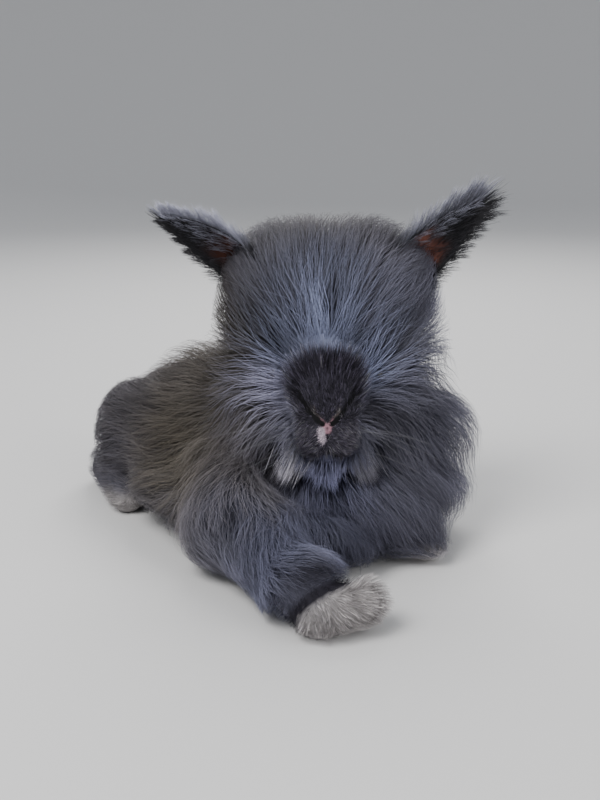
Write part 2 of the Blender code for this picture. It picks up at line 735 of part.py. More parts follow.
def add_ear_tufts(made, side):
    base, axis, opening, across = ear_frame(side)
    tufts = []
    for share, profile, spread, angle, lean in (
        (0.92, 0.36, 44, 0.0, 0.0),
        (0.88, 0.47, 47, -0.62, -0.22),
        (0.88, 0.47, 47, 0.62, 0.22),
        (0.76, 0.72, 54, -0.86, -0.3),
        (0.76, 0.72, 54, 0.86, 0.3),
    ):
        edge = math.radians(spread) * angle
        start = ear_point(side, share, EAR_WIDTH * profile, spread, edge, EAR_WALL * 0.4)
        out = (opening * -math.cos(edge) + across * math.sin(edge)).normalized()
        way = (axis + across * lean).normalized()
        bends = ((0, 0), (0.3, 0.02), (0.6, 0.08), (1, 0.2))
        path = [start + (way * reach + opening * bend) * EAR_TUFT[side] for reach, bend in bends]
        tufts.append(make_lock(path, [out] * 4, EAR_WIDTH * 0.4, 1.9 * MM))
    return join_all(made, tufts)


def build():
    for made in list(bpy.data.objects):
        bpy.data.objects.remove(made)

    head_core = blended(HEAD_CORE, BLEND)
    head_coat = blended(HEAD_COAT, COAT_BLEND)
    neck_core, neck_coat = blended(NECK_CORE, BLEND), blended(NECK_COAT, COAT_BLEND)
    torso_core, torso_coat = blended(TORSO_CORE, BLEND), blended(TORSO_COAT, COAT_BLEND)
    tail_core, tail_coat = blended(TAIL_CORE, BLEND), blended(TAIL_COAT, COAT_BLEND)
    head_centre, neck_centre = (0, 48 * MM, 88 * MM), (0, 50 * MM, 38 * MM)
    torso_centre, tail_centre = place(112 * MM, 0, 34 * MM), place(191 * MM, 0, 44 * MM)

    outlines = {
        "head": round_form("o", head_coat, head_centre, (50 * MM, 40 * MM, 50 * MM), 16, 22, pitch=20),
        "neck": round_form("o", neck_coat, neck_centre, (62 * MM, 42 * MM, 42 * MM), 10, 20),
        "tail": round_form("o", tail_coat, tail_centre, (17 * MM, 22 * MM, 21 * MM), 8, 12, turn=BODY_TURN),
    }
    parts = {
        "eye_left": make_eye("eye_left", LEFT),
        "eye_right": make_eye("eye_right", RIGHT),
        "ear_left": make_ear("ear_left", LEFT),
        "ear_right": make_ear("ear_right", RIGHT),
    }
    for name in ("ear_left", "ear_right"):
        outlines[name] = swollen(parts[name], GAP)
    for name in ("eye_left", "eye_right"):
        outlines[name] = swollen(parts[name], GAP)

    radii = (50 * MM, 46 * MM, 50 * MM)
    head = round_form("head", head_core, head_centre, radii, 19, 24, pitch=20, crowd=1.35)
    join_all(head, [*both_sides(make_lids), *both_sides(make_beard)])
    slits = face_slits()
    cut(head, slits)
    remove(*slits)
    roots = spread_roots(head_core, head_centre, radii, 66)
    roots = [root for root in roots if head_root(root)]
    width = LOCK_WIDTH * 1.3
    grow_coat(head, roots, head_core, head_coat, head_lie, head_length, width, SEEDS["head"], clear_of_eyes)
    parts["head"] = head

    neck = round_form("neck", neck_core, neck_centre, (46 * MM, 32 * MM, 38 * MM), 12, 20)
    roots = spread_roots(neck_core, neck_centre, (46 * MM, 32 * MM, 38 * MM), 84)
    roots = [root for root in roots if root[2] > 9 * MM and head_coat(np.array([root]))[0] > -9 * MM]
    roots = [root for root in roots if torso_coat(np.array([root]))[0] > -38 * MM]
    grow_coat(neck, roots, neck_core, neck_coat, neck_lie, lambda root: 40 * MM, width, SEEDS["neck"])
    parts["neck"] = neck

    radii = (44 * MM, 70 * MM, 36 * MM)
    torso = round_form("torso", torso_core, torso_centre, radii, 14, 22, turn=BODY_TURN)
    roots = spread_roots(torso_core, torso_centre, radii, 72, turn=BODY_TURN)
    roots = [root for root in roots if root[2] > 9 * MM and neck_coat(np.array([root]))[0] > -9 * MM]
    leg_coats = [blended(hindleg(side, True), 5 * MM) for side in (LEFT, RIGHT)]
    roots = [root for root in roots if min(coat(np.array([root]))[0] for coat in leg_coats) > -9 * MM]
    width = LOCK_WIDTH * 1.5
    grow_coat(torso, roots, torso_core, torso_coat, torso_lie, lambda root: 44 * MM, width, SEEDS["torso"])
    parts["torso"] = torso

    tail = round_form("tail", tail_core, tail_centre, (10 * MM, 16 * MM, 13 * MM), 8, 12, turn=BODY_TURN)
    roots = spread_roots(tail_core, tail_centre, (10 * MM, 16 * MM, 13 * MM), 14, turn=BODY_TURN)
    roots = [root for root in roots if torso_coat(np.array([root]))[0] > -3 * MM]
    width = LOCK_WIDTH * 0.7
    grow_coat(tail, roots, tail_core, tail_coat, tail_lie, lambda root: 15 * MM, width, SEEDS["tail"], steps=3)
    parts["tail"] = tail

    for label, side in (("left", LEFT), ("right", RIGHT)):
        name = "foreleg_" + label
        (core_rods, core_paw), (coat_rods, coat_paw) = foreleg(side, False), foreleg(side, True)
        core, coat = blended([*core_rods, *core_paw], 4 * MM), blended([*coat_rods, *coat_paw], 4 * MM)
        corners, radii = FORELEG_PATHS[side], FORELEG_CORE[side]
        parts[name] = swept_form(name, blended(core_rods, 4 * MM), limb_path(corners, radii, 9), 10, LEG_COAT)
        join_all(parts[name], [make_paw("paw", core_paw, side)])
        path = limb_path(corners, FORELEG_COAT[side], 9)
        outlines[name] = swept_form("o", blended(coat_rods, 4 * MM), path, 10)
        outlines["paw_" + label] = make_paw("o", coat_paw, side)
        roots = ring_roots(core, limb_path(corners, (0, 0, 0), 4), 5)
        roots = [root for root in roots if root[2] > 8 * MM and neck_coat(np.array([root]))[0] > -12 * MM]
        length = 30 * MM if side == RIGHT else 20 * MM
        lie, width = path_lie(corners), LOCK_WIDTH * 1.35
        grow_coat(parts[name], roots, core, coat, lie, lambda root: length, width, SEEDS[name], steps=3)

        name = "hindleg_" + label
        out = -side
        core, coat = (blended(hindleg(side, long), 5 * MM) for long in (False, True))
        centre, radii = place(136 * MM, out * 38 * MM, 21 * MM), (23 * MM, 38 * MM, 25 * MM)
        parts[name] = round_form(name, core, centre, radii, 12, 16, LEG_COAT, turn=BODY_TURN)
        outlines[name] = round_form("o", coat, centre, radii, 12, 16, turn=BODY_TURN)
        roots = spread_roots(core, centre, radii, 30, turn=BODY_TURN)
        roots = [root for root in roots if root[2] > 16 * MM and torso_coat(np.array([root]))[0] > -9 * MM]
        lie, width = torso_lie, LOCK_WIDTH * 1.15
        grow_coat(parts[name], roots, core, coat, lie, lambda root: 34 * MM, width, SEEDS[name], steps=3)

    add_ear_tufts(parts["ear_left"], LEFT)
    add_ear_tufts(parts["ear_right"], RIGHT)

    for name in [name for name in outlines if name[:3] not in ("eye", "ear")]:
        outline = outlines[name]
        outlines[name] = swollen(outline, LEG_GAP if name.startswith("foreleg") else GAP)
        remove(outline)
    gives_way = {
        "head": ["eye_left", "eye_right", "ear_left", "ear_right"],
        "foreleg_left": ["head"],
        "foreleg_right": ["head"],
        "neck": ["head", "foreleg_right", "foreleg_left", "paw_right", "paw_left"],
        "torso": ["neck", "head", "foreleg_right", "foreleg_left", "hindleg_right", "hindleg_left", "tail"],
    }
    for name, others in gives_way.items():
        cut(parts[name], [outlines[other] for other in others])
    remove(*outlines.values())
    stand_on_origin(parts.values())


def head_root(root):
    """Whether a lock of the head grows here: off the face, and not where the neck joins."""
    face = rod((0, 6 * MM, 56 * MM), (0, 24 * MM, 86 * MM), FACE_RADIUS, FACE_RADIUS)
    if distance(np.array([root]), face)[0] < 0:
        return False
    return root[2] > 50 * MM and not (root[2] < 72 * MM and root[1] > 55 * MM)


def head_length(root):
    """Locks are short where they start from the face, and longest on the crown and cheeks."""
    away = np.linalg.norm(root - FACE_CENTRE) - FACE_RADIUS
    return 47 * MM * min(1.0, 0.5 + away / (36 * MM))


def clear_of_eyes(path):
    """Whether a lock leaves open the funnel through which each eye looks out."""
    for side in (LEFT, RIGHT):
        centre, way = eye_centre(side), eye_ways()[side]
        funnel = rod(centre, centre + way * 30 * MM, EYE_RADIUS + 2 * MM, 10 * MM)
        if min(distance(np.array([tuple(point) for point in path]), funnel)) < 1.5 * MM:
            return False
    return True


def ring_roots(field, path, count):
    """Rings of points round a limb."""
    found = []
    for index, point in enumerate(path):
        before, after = path[max(index - 1, 0)], path[min(index + 1, len(path) - 1)]
        along = (after - before).normalized()
        up = (Vector((0, 0, 1)) - along * along.z).normalized()
        across = along.cross(up)
        spins = [2 * math.pi * (step + 0.5 * (index % 2)) / count for step in range(count)]
        ways = np.array([across * math.cos(spin) + up * math.sin(spin) for spin in spins])
        starts = np.tile(np.array(point), (count, 1))
        found.extend(starts + ways * first_crossing(field, starts, ways, 40 * MM)[:, None])
    return found


def stand_on_origin(objects):
    """Moves the whole rabbit so that the middle of its box stands on the origin."""
    corners = np.array([vert.co for made in objects for vert in made.data.vertices])
    low, high = corners.min(axis=0), corners.max(axis=0)
    shift = Matrix.Translation((-(low[0] + high[0]) / 2, -(low[1] + high[1]) / 2, -low[2]))
    for made in objects:
        made.data.transform(shift)


build()
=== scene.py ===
"""The looks of a young English Angora rabbit lying down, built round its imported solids.

Everything is made with the nose above the origin, the head facing -Y and the rabbit's own left at +X.
SHIFT then moves it to where the solids lie. The flesh is one skin under the long coat. The coat is many thin
closed strands, which leave the skin, follow the lie of the coat and rise to its outline. Shapes are given in
millimetres, and values with MM in metres.
"""

import math

import bmesh
import bpy
import numpy as np
from mathutils import Matrix, Vector
from mathutils.kdtree import KDTree


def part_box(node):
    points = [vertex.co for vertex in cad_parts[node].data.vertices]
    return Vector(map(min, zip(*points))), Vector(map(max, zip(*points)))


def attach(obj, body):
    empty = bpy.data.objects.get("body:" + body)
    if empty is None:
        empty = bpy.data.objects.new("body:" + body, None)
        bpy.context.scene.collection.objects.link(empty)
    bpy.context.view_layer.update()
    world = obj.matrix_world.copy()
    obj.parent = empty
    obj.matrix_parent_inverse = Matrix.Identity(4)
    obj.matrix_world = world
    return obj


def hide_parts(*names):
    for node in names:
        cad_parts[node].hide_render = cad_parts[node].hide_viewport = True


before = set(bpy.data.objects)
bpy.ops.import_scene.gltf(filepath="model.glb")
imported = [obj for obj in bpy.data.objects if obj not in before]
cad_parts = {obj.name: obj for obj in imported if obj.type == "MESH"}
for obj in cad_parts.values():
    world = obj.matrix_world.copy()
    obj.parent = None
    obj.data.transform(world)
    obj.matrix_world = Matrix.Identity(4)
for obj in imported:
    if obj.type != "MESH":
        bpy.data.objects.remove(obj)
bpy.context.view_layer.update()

MM = 0.001
BODY_TURN = 30.0  # degrees, from the line of the face to the line of the back
LEFT, RIGHT = 1, -1  # the rabbit's own sides
SIDE_NAMES = {LEFT: "left", RIGHT: "right"}
NOSE_HEIGHT = 64 * MM
EYE_RADIUS = 5.8 * MM
EYE_SHOWS = 1.6 * MM
EYE_HEIGHT = 80 * MM
FACE_CENTRE = np.array((0, 14, 72)) * MM
MUZZLE = np.array((0, 4, 60)) * MM
EAR_LENGTH = 68 * MM
EAR_WIDTH = 25 * MM
EAR_WALL = 1.8 * MM
HEAD_SOFTNESS = 2.5 * MM  # how widely the shapes of the head run into each other under its features
CORE_SOFTNESS = 2 * MM
FLESH_SOFTNESS = 3 * MM
OUTLINE_SOFTNESS = 5 * MM
SKIN_VOXEL = 2.0 * MM
SKIN_LOWEST = 0.2 * MM
STRAND_RADIUS = 0.115 * MM
STRAND_LOWEST = 0.4 * MM
chance = np.random.default_rng(7)


# Shapes and their fields

def place(along, side, height):
    """A point of the turned body: along its back from under the nose, out to its right side, and up."""
    turn = math.radians(BODY_TURN)
    return (
        -math.sin(turn) * along - math.cos(turn) * side,
        math.cos(turn) * along - math.sin(turn) * side,
        height,
    )


def blob(centre, radii, pitch=0.0, turn=0.0):
    """An ellipsoid of centre and radii in millimetres, tipped down in front by pitch and turned about Z."""
    basis = Matrix.Rotation(math.radians(turn), 3, "Z") @ Matrix.Rotation(math.radians(pitch), 3, "X")
    return "blob", np.array(centre) * MM, np.array(radii) * MM, np.array(basis)


def body_blob(centre, radii):
    return blob(place(*centre), radii, turn=BODY_TURN)


def rod(start, end, start_radius, end_radius):
    return "rod", np.array(start) * MM, np.array(end) * MM, (start_radius * MM, end_radius * MM)


def pair(centre, radii):
    """The same blob on the left and on the right."""
    x, y, z = centre
    return [blob((side * x, y, z), radii) for side in (LEFT, RIGHT)]


def norm(vectors):
    return np.linalg.norm(vectors, axis=-1)


def distance(points, shape):
    """Roughly how far points lie outside a shape, and below zero inside it."""
    if shape[0] == "rod":
        _, start, end, (start_radius, end_radius) = shape
        line = end - start
        share = np.clip((points - start) @ line / (line @ line), 0, 1)[:, None]
        radius = start_radius + (end_radius - start_radius) * share[:, 0]
        return norm(points - start - share * line) - radius
    if shape[0] == "ring":
        _, centre, basis, radii, thickness = shape
        local = (points - centre) @ basis
        flat = local[:, :2] / np.array(radii)
        reach = np.maximum(norm(flat), 1e-9)
        nearest = np.column_stack([flat / reach[:, None] * np.array(radii), np.zeros(len(points))])
        return norm(local - nearest) - thickness
    _, centre, radii, basis = shape
    local = (points - centre) @ basis
    reach = norm(local / radii)
    steep = norm(local / radii**2)
    return reach * (reach - 1) / np.maximum(steep, 1e-9)


def soft_least(fields, softness):
    """The least of several fields, and a little less where two of them are alike."""
    fields = np.array(fields)
    least = fields.min(axis=0)
    return least - softness * np.log(np.exp((least - fields) / softness).sum(axis=0))


def blended(shapes, softness):
    """The field of several shapes that run smoothly into each other."""

    def field(points):
        return soft_least([distance(points, shape) for shape in shapes], softness)

    return field


def slope(field, points, step=0.2 * MM):
    """The way straight out of a field at each point."""
    found = np.empty_like(points)
    for axis in range(3):
        shift = np.zeros(3)
        shift[axis] = step
        found[:, axis] = field(points + shift) - field(points - shift)
    return unit(found)


def unit(vectors):
    return vectors / np.maximum(norm(vectors), 1e-12)[..., None]


def smooth(low, high, values):
    """From 0 at low to 1 at high, level at both ends."""
    share = np.clip((values - low) / (high - low), 0, 1)
    return share * share * (3 - 2 * share)


HEAD_CORE = [
    blob((0, 47, 95), (29, 33, 31)),
    blob((0, 58, 110), (36, 27, 28)),
    *pair((20, 58, 112), (20, 24, 24)),
    *pair((15, 38, 75), (15, 23, 20)),
    *pair((25, 50, 82), (15, 22, 22)),
    blob((0, 22, 79), (11.5, 24, 12), pitch=42),
    blob((0, 13.5, 65), (11.5, 14, 9.5)),
    *pair((7, 8, 59.5), (8, 8, 7)),
    blob((0, 12, 52.5), (7.5, 9.5, 4.5)),
    blob((0, 40, 62), (15, 24, 12)),
]
HEAD_COAT = [
    blob((2, 60, 100), (57, 44, 47)),
    blob((2, 62, 122), (49, 38, 33)),
    blob((29, 60, 123), (22, 31, 28)),
    blob((-25, 60, 123), (22, 31, 28)),
    *pair((29, 44, 79), (27, 31, 28)),
    blob((38, 57, 82), (24, 30, 26)),
    blob((0, 23, 80), (14, 26, 14), pitch=42),
    blob((0, 13, 64.5), (14, 15.5, 12)),
    *pair((8, 9, 59), (10, 10.5, 9)),
    *pair((13, 16, 51), (10, 13, 12)),
    blob((0, 40, 62), (17, 27, 15)),
]
NECK_CORE = [
    blob((2, 54, 50), (51, 33, 38)),
    blob((3, 44, 24), (49, 36, 25)),
    blob((-44, 34, 22), (18, 20, 18)),
    blob((-10, 8, 18), (22, 14, 13)),
]
NECK_COAT = [blob((3, 52, 48), (75, 42, 45)), blob((5, 44, 26), (71, 48, 32))]
TORSO_CORE = [
    body_blob((106, 0, 33), (44, 66, 36)),
    body_blob((92, 10, 50), (26, 34, 26)),
    body_blob((70, 30, 20), (24, 26, 17)),
]
TORSO_COAT = [
    body_blob((103, 0, 35), (54, 75, 43)),
    body_blob((96, 12, 60), (32, 40, 31)),
    body_blob((76, 32, 21), (32, 34, 20)),
]
TAIL_CORE = [body_blob((184, 0, 38), (10, 14, 12))]
TAIL_COAT = [body_blob((187, 0, 38), (15, 19, 18))]
FORELEG_PATHS = {
    RIGHT: [place(46, 30, 38), place(18, 41, 23), (-11, -57, 13)],
    LEFT: [place(50, -34, 34), place(24, -40, 17), place(-4, -42, 10)],
}
FORELEG_CORE = {RIGHT: (13, 13, 10.5), LEFT: (12, 11, 7.5)}
FORELEG_COAT = {RIGHT: (22, 23, 17), LEFT: (18, 15, 11)}
PAW_PATHS = {
    RIGHT: [(-4, -69, 8.3), (12, -67, 12)],
    LEFT: [place(-7, -42, 7.5), place(-20, -42, 6.5)],
}
PAW_RADII = {RIGHT: (8.8, 8.3), LEFT: (7.3, 6.3)}
PAW_COAT = 3.7
FOOT_RADII = (9.5, 8.5)
FOOT_COAT = 3
THIGH_CORE, THIGH_COAT = (20, 33, 28), (24, 38, 32)


def foreleg(side, coat):
    path, radii = FORELEG_PATHS[side], (FORELEG_COAT if coat else FORELEG_CORE)[side]
    more = PAW_COAT if coat else 0
    rods = [rod(path[i], path[i + 1], radii[i], radii[i + 1]) for i in range(len(path) - 1)]
    start, end = PAW_PATHS[side]
    first, last = PAW_RADII[side]
    return [*rods, rod(path[-1], start, radii[-1], first + more), rod(start, end, first + more, last + more)]


def foot_path(side):
    """The heel and the toes of a hind foot."""
    return place(160, -side * 46, 8.5), place(112, -side * 54, 7.5)


def hindleg(side, coat):
    more = FOOT_COAT if coat else 0
    thigh = body_blob((136, -side * 35, 31), THIGH_COAT if coat else THIGH_CORE)
    return [thigh, rod(*foot_path(side), FOOT_RADII[0] + more, FOOT_RADII[1] + more)]


CORES = {"head": HEAD_CORE, "neck": NECK_CORE, "torso": TORSO_CORE, "tail": TAIL_CORE}
COAT_SHAPES = [*HEAD_COAT, *NECK_COAT, *TORSO_COAT, *TAIL_COAT]
for limb, shapes_of in (("foreleg", foreleg), ("hindleg", hindleg)):
    for side, label in SIDE_NAMES.items():
        CORES[f"{limb}_{label}"] = shapes_of(side, False)
        COAT_SHAPES += shapes_of(side, True)
FLESH_SHAPES = [shape for shapes in CORES.values() for shape in shapes]
FRINGE = [  # the coat that hangs over the right elbow and the left paw, and between the forelegs
    blob((-62, 28, 20), (22, 26, 19)),
    blob((38, 12, 18), (18, 18, 17)),
    blob((14, 6, 18), (30, 19, 17)),
    blob((-16, -10, 17), (23, 18, 15)),
    blob((0, -12, 14), (21, 16, 13)),
]
OUTLINE = blended([*COAT_SHAPES, *FRINGE], OUTLINE_SOFTNESS)
CORE_FIELDS = {name: blended(shapes, CORE_SOFTNESS) for name, shapes in CORES.items()}
head_field = blended(HEAD_CORE, HEAD_SOFTNESS)
flesh_field = blended(FLESH_SHAPES, FLESH_SOFTNESS)


# Eyes

def eye_way(side):
    """The way an eye looks."""
    return np.array((side * 0.915, -0.385, 0.12))


def eye_centre(side):
    """The eyeball sits in the flesh, with EYE_SHOWS of it outside."""
    way = eye_way(side)
    start = np.array((0, 36 * MM, EYE_HEIGHT))
    lengths = np.linspace(0, 60 * MM, 600)
    values = head_field(start + way * lengths[:, None])
    first = int(np.argmax(values > 0))
    low, high = lengths[first - 1], lengths[first]
    for _ in range(20):
        middle = (low + high) / 2
        if head_field((start + way * middle)[None, :])[0] <= 0:
            low = middle
        else:
            high = middle
    return start + way * (low - EYE_RADIUS + EYE_SHOWS)


EYES = {side: eye_centre(side) for side in (LEFT, RIGHT)}
eye_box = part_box("eye_left")
SHIFT = np.array((eye_box[0] + eye_box[1]) / 2) - EYES[LEFT]


def eye_basis(side):
    """Two ways across an eye, and the way it looks."""
    way = Vector(eye_way(side)).normalized()
    across = way.cross(Vector((0, 0, 1))).normalized()
    return np.column_stack([across, way.cross(across), way])


# Mesh making

def finish_mesh(mesh, tint):
    """Moves a mesh to where the solids lie, and colours its points."""
    mesh.transform(Matrix.Translation(SHIFT))
    layer = mesh.color_attributes.new("tint", "FLOAT_COLOR", "POINT")
    values = np.column_stack([tint, np.ones(len(tint))]).astype(np.float32)
    layer.data.foreach_set("color", values.ravel())
    mesh.polygons.foreach_set("use_smooth", np.ones(len(mesh.polygons), bool))
    mesh.update()


def add_object(name, data):
    made = bpy.data.objects.new(name, data)
    bpy.context.scene.collection.objects.link(made)
    return made


def add_piece(name, mesh, material, replaces=()):
    """Shows a mesh as a piece of the rabbit, in place of some of its solids."""
    made = add_object(name, mesh)
    mesh.materials.append(material)
    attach(made, "root")
    if replaces:
        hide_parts(*replaces)


def points_of(mesh):
    points = np.empty(len(mesh.vertices) * 3)
    mesh.vertices.foreach_get("co", points)
    return points.reshape(-1, 3)


def grid_faces(spots):
    """The four-sided faces of a grid of point numbers."""
    corners = spots[:-1, :-1], spots[1:, :-1], spots[1:, 1:], spots[:-1, 1:]
    return np.stack(corners, axis=-1).reshape(-1, 4).tolist()


def ball_mesh(shapes):
    """Balls and rows of balls in place of the shapes."""
    made = bmesh.new()
    for shape in shapes:
        if shape[0] == "rod":
            _, start, end, (start_radius, end_radius) = shape
            count = 2 + int(norm(end - start) / (3 * MM))
            for share in np.linspace(0, 1, count):
                radius = start_radius + (end_radius - start_radius) * share
                where = Matrix.Translation(start + (end - start) * share) @ Matrix.Scale(radius, 4)
                bmesh.ops.create_icosphere(made, subdivisions=3, radius=1, matrix=where)
        else:
            _, centre, radii, basis = shape
            turned = Matrix(basis.tolist()).to_4x4()
            where = Matrix.Translation(centre) @ turned @ Matrix.Diagonal((*radii, 1))
            bmesh.ops.create_icosphere(made, subdivisions=4, radius=1, matrix=where)
    mesh = bpy.data.meshes.new("balls")
    made.to_mesh(mesh)
    made.free()
    return mesh


def applied(mesh, name, kind, **settings):
    """The mesh with one modifier applied."""
    carrier = add_object("carrier", mesh)
    modifier = carrier.modifiers.new(kind.lower(), kind)
    for key, value in settings.items():
        setattr(modifier, key, value)
    bpy.context.view_layer.update()
    result = bpy.data.meshes.new_from_object(carrier.evaluated_get(bpy.context.evaluated_depsgraph_get()))
    bpy.data.objects.remove(carrier)
    bpy.data.meshes.remove(mesh)
    result.name = name
    return result


# The skin

LID_FORWARD = 3.7 * MM
LID_RADII = (4.9 * MM, 4.0 * MM)
LID_THICKNESS = 1.0 * MM
LIDS = [
    ("ring", EYES[side] + eye_way(side) * LID_FORWARD, eye_basis(side), LID_RADII, LID_THICKNESS)
    for side in (LEFT, RIGHT)
]
# Lines on the face, as millimetres out from its middle and up from the nose
NOSTRIL_LINE = [(2.0, 3.8), (4.2, 5.2), (6.8, 7.4), (9.4, 10.0), (12.0, 12.8)]
RIM_LINE = [(3.4, 6.3), (5.8, 8.3)]
PINK_LINE = [(0.6, 0.8), (0.6, 2.6), (2.8, 4.8)]
WHITE_LINE = [(-2.6, 1.0), (-1.9, -3.4)]
LIP_LINE = [(0.0, -9.4), (4.0, -11.3), (9.0, -12.8)]
CLEFT_LINE = [(0, 2.2), (0, -2.0), (0, -5.5), (0, -9.4)]
NOSTRIL_RADIUS, LIP_RADIUS, CLEFT_RADIUS = 1.0, 0.7, 0.4


def face_front(x, z):
    """The front of the flesh at a place seen from the front, in metres."""
    depths = np.linspace(26 * MM, -12 * MM, 400)
    line = np.column_stack([np.full(400, x), depths, np.full(400, z)])
    return depths[int(np.argmax(head_field(line) > 0))]


def groove(line, radius, side=LEFT):
    """Rods along a line on the front of the face, on its own side or the other."""
    points = []
    for out, up in line:
        front = face_front(side * out * MM, NOSE_HEIGHT + up * MM)
        points.append((side * out, front / MM, NOSE_HEIGHT / MM + up))
    return [rod(a, b, radius, radius) for a, b in zip(points, points[1:])]


GROOVES, RIMS, PINKS = groove(CLEFT_LINE, CLEFT_RADIUS), [], []
for side in (LEFT, RIGHT):
    GROOVES += groove(NOSTRIL_LINE, NOSTRIL_RADIUS, side)
    GROOVES += groove(LIP_LINE, LIP_RADIUS, side)
    RIMS += groove(RIM_LINE, 0, side)
    PINKS += groove(PINK_LINE, 0, side)

lid_field = blended(LIDS, 0.4 * MM)
groove_field = blended(GROOVES, 0.25 * MM)
rim_field = blended(RIMS, 0.2 * MM)
pink_field = blended(PINKS, 0.2 * MM)
white_field = blended(groove(WHITE_LINE, 0), 0.2 * MM)


def skin_field(points):
    """Flesh with lids added, and with nostrils, cleft and mouth cut in, resting on the floor."""
    flesh = flesh_field(points)
    face = norm(points - FACE_CENTRE) < 60 * MM
    if face.any():
        front = points[face]
        joined = soft_least([flesh[face], lid_field(front)], 0.6 * MM)
        flesh[face] = np.maximum(joined, -groove_field(front))
    return np.maximum(flesh, SKIN_LOWEST - points[:, 2])


def settle(points, field, rounds=4, most=1.5 * MM):
    """Moves points onto the surface of a field."""
    for _ in range(rounds):
        points = points - slope(field, points) * np.clip(field(points), -most, most)[:, None]
    return points


def refine(mesh, nose_reach, eye_reach):
    """Splits the edges close to the nose and mouth, and those close to an eye."""
    points = points_of(mesh)
    inside = norm(points - MUZZLE) < nose_reach
    for centre in EYES.values():
        inside |= norm(points - centre) < eye_reach
    shape = bmesh.new()
    shape.from_mesh(mesh)
    edges = [edge for edge in shape.edges if inside[edge.verts[0].index] and inside[edge.verts[1].index]]
    bmesh.ops.subdivide_edges(shape, edges=edges, cuts=1, use_grid_fill=True)
    bmesh.ops.triangulate(shape, faces=[face for face in shape.faces if len(face.verts) > 4])
    shape.to_mesh(mesh)
    shape.free()


def make_skin():
    """One surface over all the flesh, finer round the nose, the mouth and the eyes."""
    mesh = applied(ball_mesh(FLESH_SHAPES), "skin", "REMESH", mode="VOXEL", voxel_size=SKIN_VOXEL)
    mesh.vertices.foreach_set("co", settle(points_of(mesh), flesh_field).ravel())
    refine(mesh, 20 * MM, 12 * MM)
    refine(mesh, 16 * MM, 9 * MM)
    mesh.vertices.foreach_set("co", settle(points_of(mesh), skin_field, 6).ravel())
    return mesh


# Markings with painted shade and painted highlights, in linear colour, shared by the skin and its coat

def rgb(*parts):
    return np.array(parts)


GREY = rgb(0.108, 0.106, 0.14)
DARK = rgb(0.02, 0.0175, 0.026)
PAD = rgb(0.055, 0.049, 0.066)
RIM = rgb(0.17, 0.135, 0.125)
# lighter forehead hair, partly a painted bluish highlight of light from above
FOREHEAD_HIGHLIGHT = rgb(0.3, 0.338, 0.51)
# lighter wisps of hair, partly a painted highlight
WISP_HIGHLIGHT = rgb(0.27, 0.27, 0.36)
# lighter hair beside the face, partly a painted highlight
CHEEK_HIGHLIGHT = rgb(0.45, 0.45, 0.62)
CROWN = rgb(0.074, 0.066, 0.068)
SHADY = rgb(0.046, 0.04, 0.042)
CHIN = rgb(0.29, 0.3, 0.47)
# painted shade under the chin and between the forelegs
CHEST_SHADE = rgb(0.045, 0.045, 0.075)
ARM = rgb(0.16, 0.168, 0.25)
BACK = rgb(0.066, 0.055, 0.038)
TAN = rgb(0.465, 0.435, 0.43)
PALE = rgb(0.62, 0.595, 0.66)
WHISKER = rgb(0.2, 0.2, 0.22)
PINK = rgb(0.47, 0.26, 0.31)
LIP = rgb(0.6, 0.51, 0.58)
BEARD_PALENESS = {LEFT: 0.25, RIGHT: 1.0}
SKIN_PAINTED_SHADE = 0.6  # how much of the coat's colour the skin under it has: the skin is painted darker than its coat, as the shade deep under the coat
FACE_LINE = rod((0, 0, 60), (0, 0, 82), -3.0, 0)
PAW_ROD = {side: rod(*PAW_PATHS[side], *PAW_RADII[side]) for side in (LEFT, RIGHT)}
FOOT_ROD = {side: rod(*foot_path(side), *FOOT_RADII) for side in (LEFT, RIGHT)}
CREASE = np.array((-3, -72, 16)) * MM  # where the arm's grey coat ends over the pale paw
CREASE_WAY = np.array((0.56, -0.61, -0.56))
FACE_EDGE = (12.5 * MM, 15.5 * MM)  # where the dark of the face fades, as a reach from its middle line
PATCHES = (  # colour, centre in millimetres, radius and strength
    (CROWN, (0, 60, 148), 50, 0.95),
    # lighter wisps on the left of the head, partly a painted highlight
    (WISP_HIGHLIGHT, (40, 50, 106), 20, 0.6),
    (SHADY * (0.6, 0.55, 0.45), (-43, 50, 106), 27, 1.0),
    # lighter hair on the forehead and above the muzzle, partly painted bluish highlights
    (FOREHEAD_HIGHLIGHT, (0, 18, 112), 20, 0.9),
    # a painted highlight on the lighter hair of the right cheek
    (CHEEK_HIGHLIGHT, (-29, 16, 79), 16, 1.0),
    (FOREHEAD_HIGHLIGHT * 0.7, (-25, 20, 100), 13, 0.8),
    (FOREHEAD_HIGHLIGHT * 0.5, (27, 20, 99), 12, 0.6),
    (FOREHEAD_HIGHLIGHT, (22, 18, 88), 10, 0.7),
    # lighter wisps on the cheeks, partly painted highlights
    (WISP_HIGHLIGHT, (-30, 12, 62), 15, 0.6),
    (WISP_HIGHLIGHT, (32, 10, 78), 12, 0.35),
    (SHADY, (32, 12, 62), 14, 0.5),
    # streaks of wispy hair over the right shoulder, partly a painted highlight
    (WISP_HIGHLIGHT * (0.75, 0.7, 0.62), (-52, 14, 38), 25, 0.8),
    (WISP_HIGHLIGHT * 0.45, (-50, 4, 26), 24, 0.8),
    (CHIN, (0, 5, 42), 15, 0.9),
    # painted shade under the chin, between the forelegs
    (CHEST_SHADE * 0.7, (3, -8, 17), 25, 0.9),
    (ARM, (-22, -34, 18), 27, 0.8),
    # painted shade in the hollow of the crease over the right paw
    (DARK, (-8, -62, 20), 9, 1.0),
    (DARK * 2, (-17, 12, 78), 6, 0.75),
    (DARK * 2, (20, 13, 74), 7, 0.75),
    (BACK, place(110, 0, 72), 54, 0.9),
    (BACK * 2.0, place(66, 40, 46), 40, 0.85),
    (SHADY * 1.7, place(160, 30, 30), 42, 0.7),
)


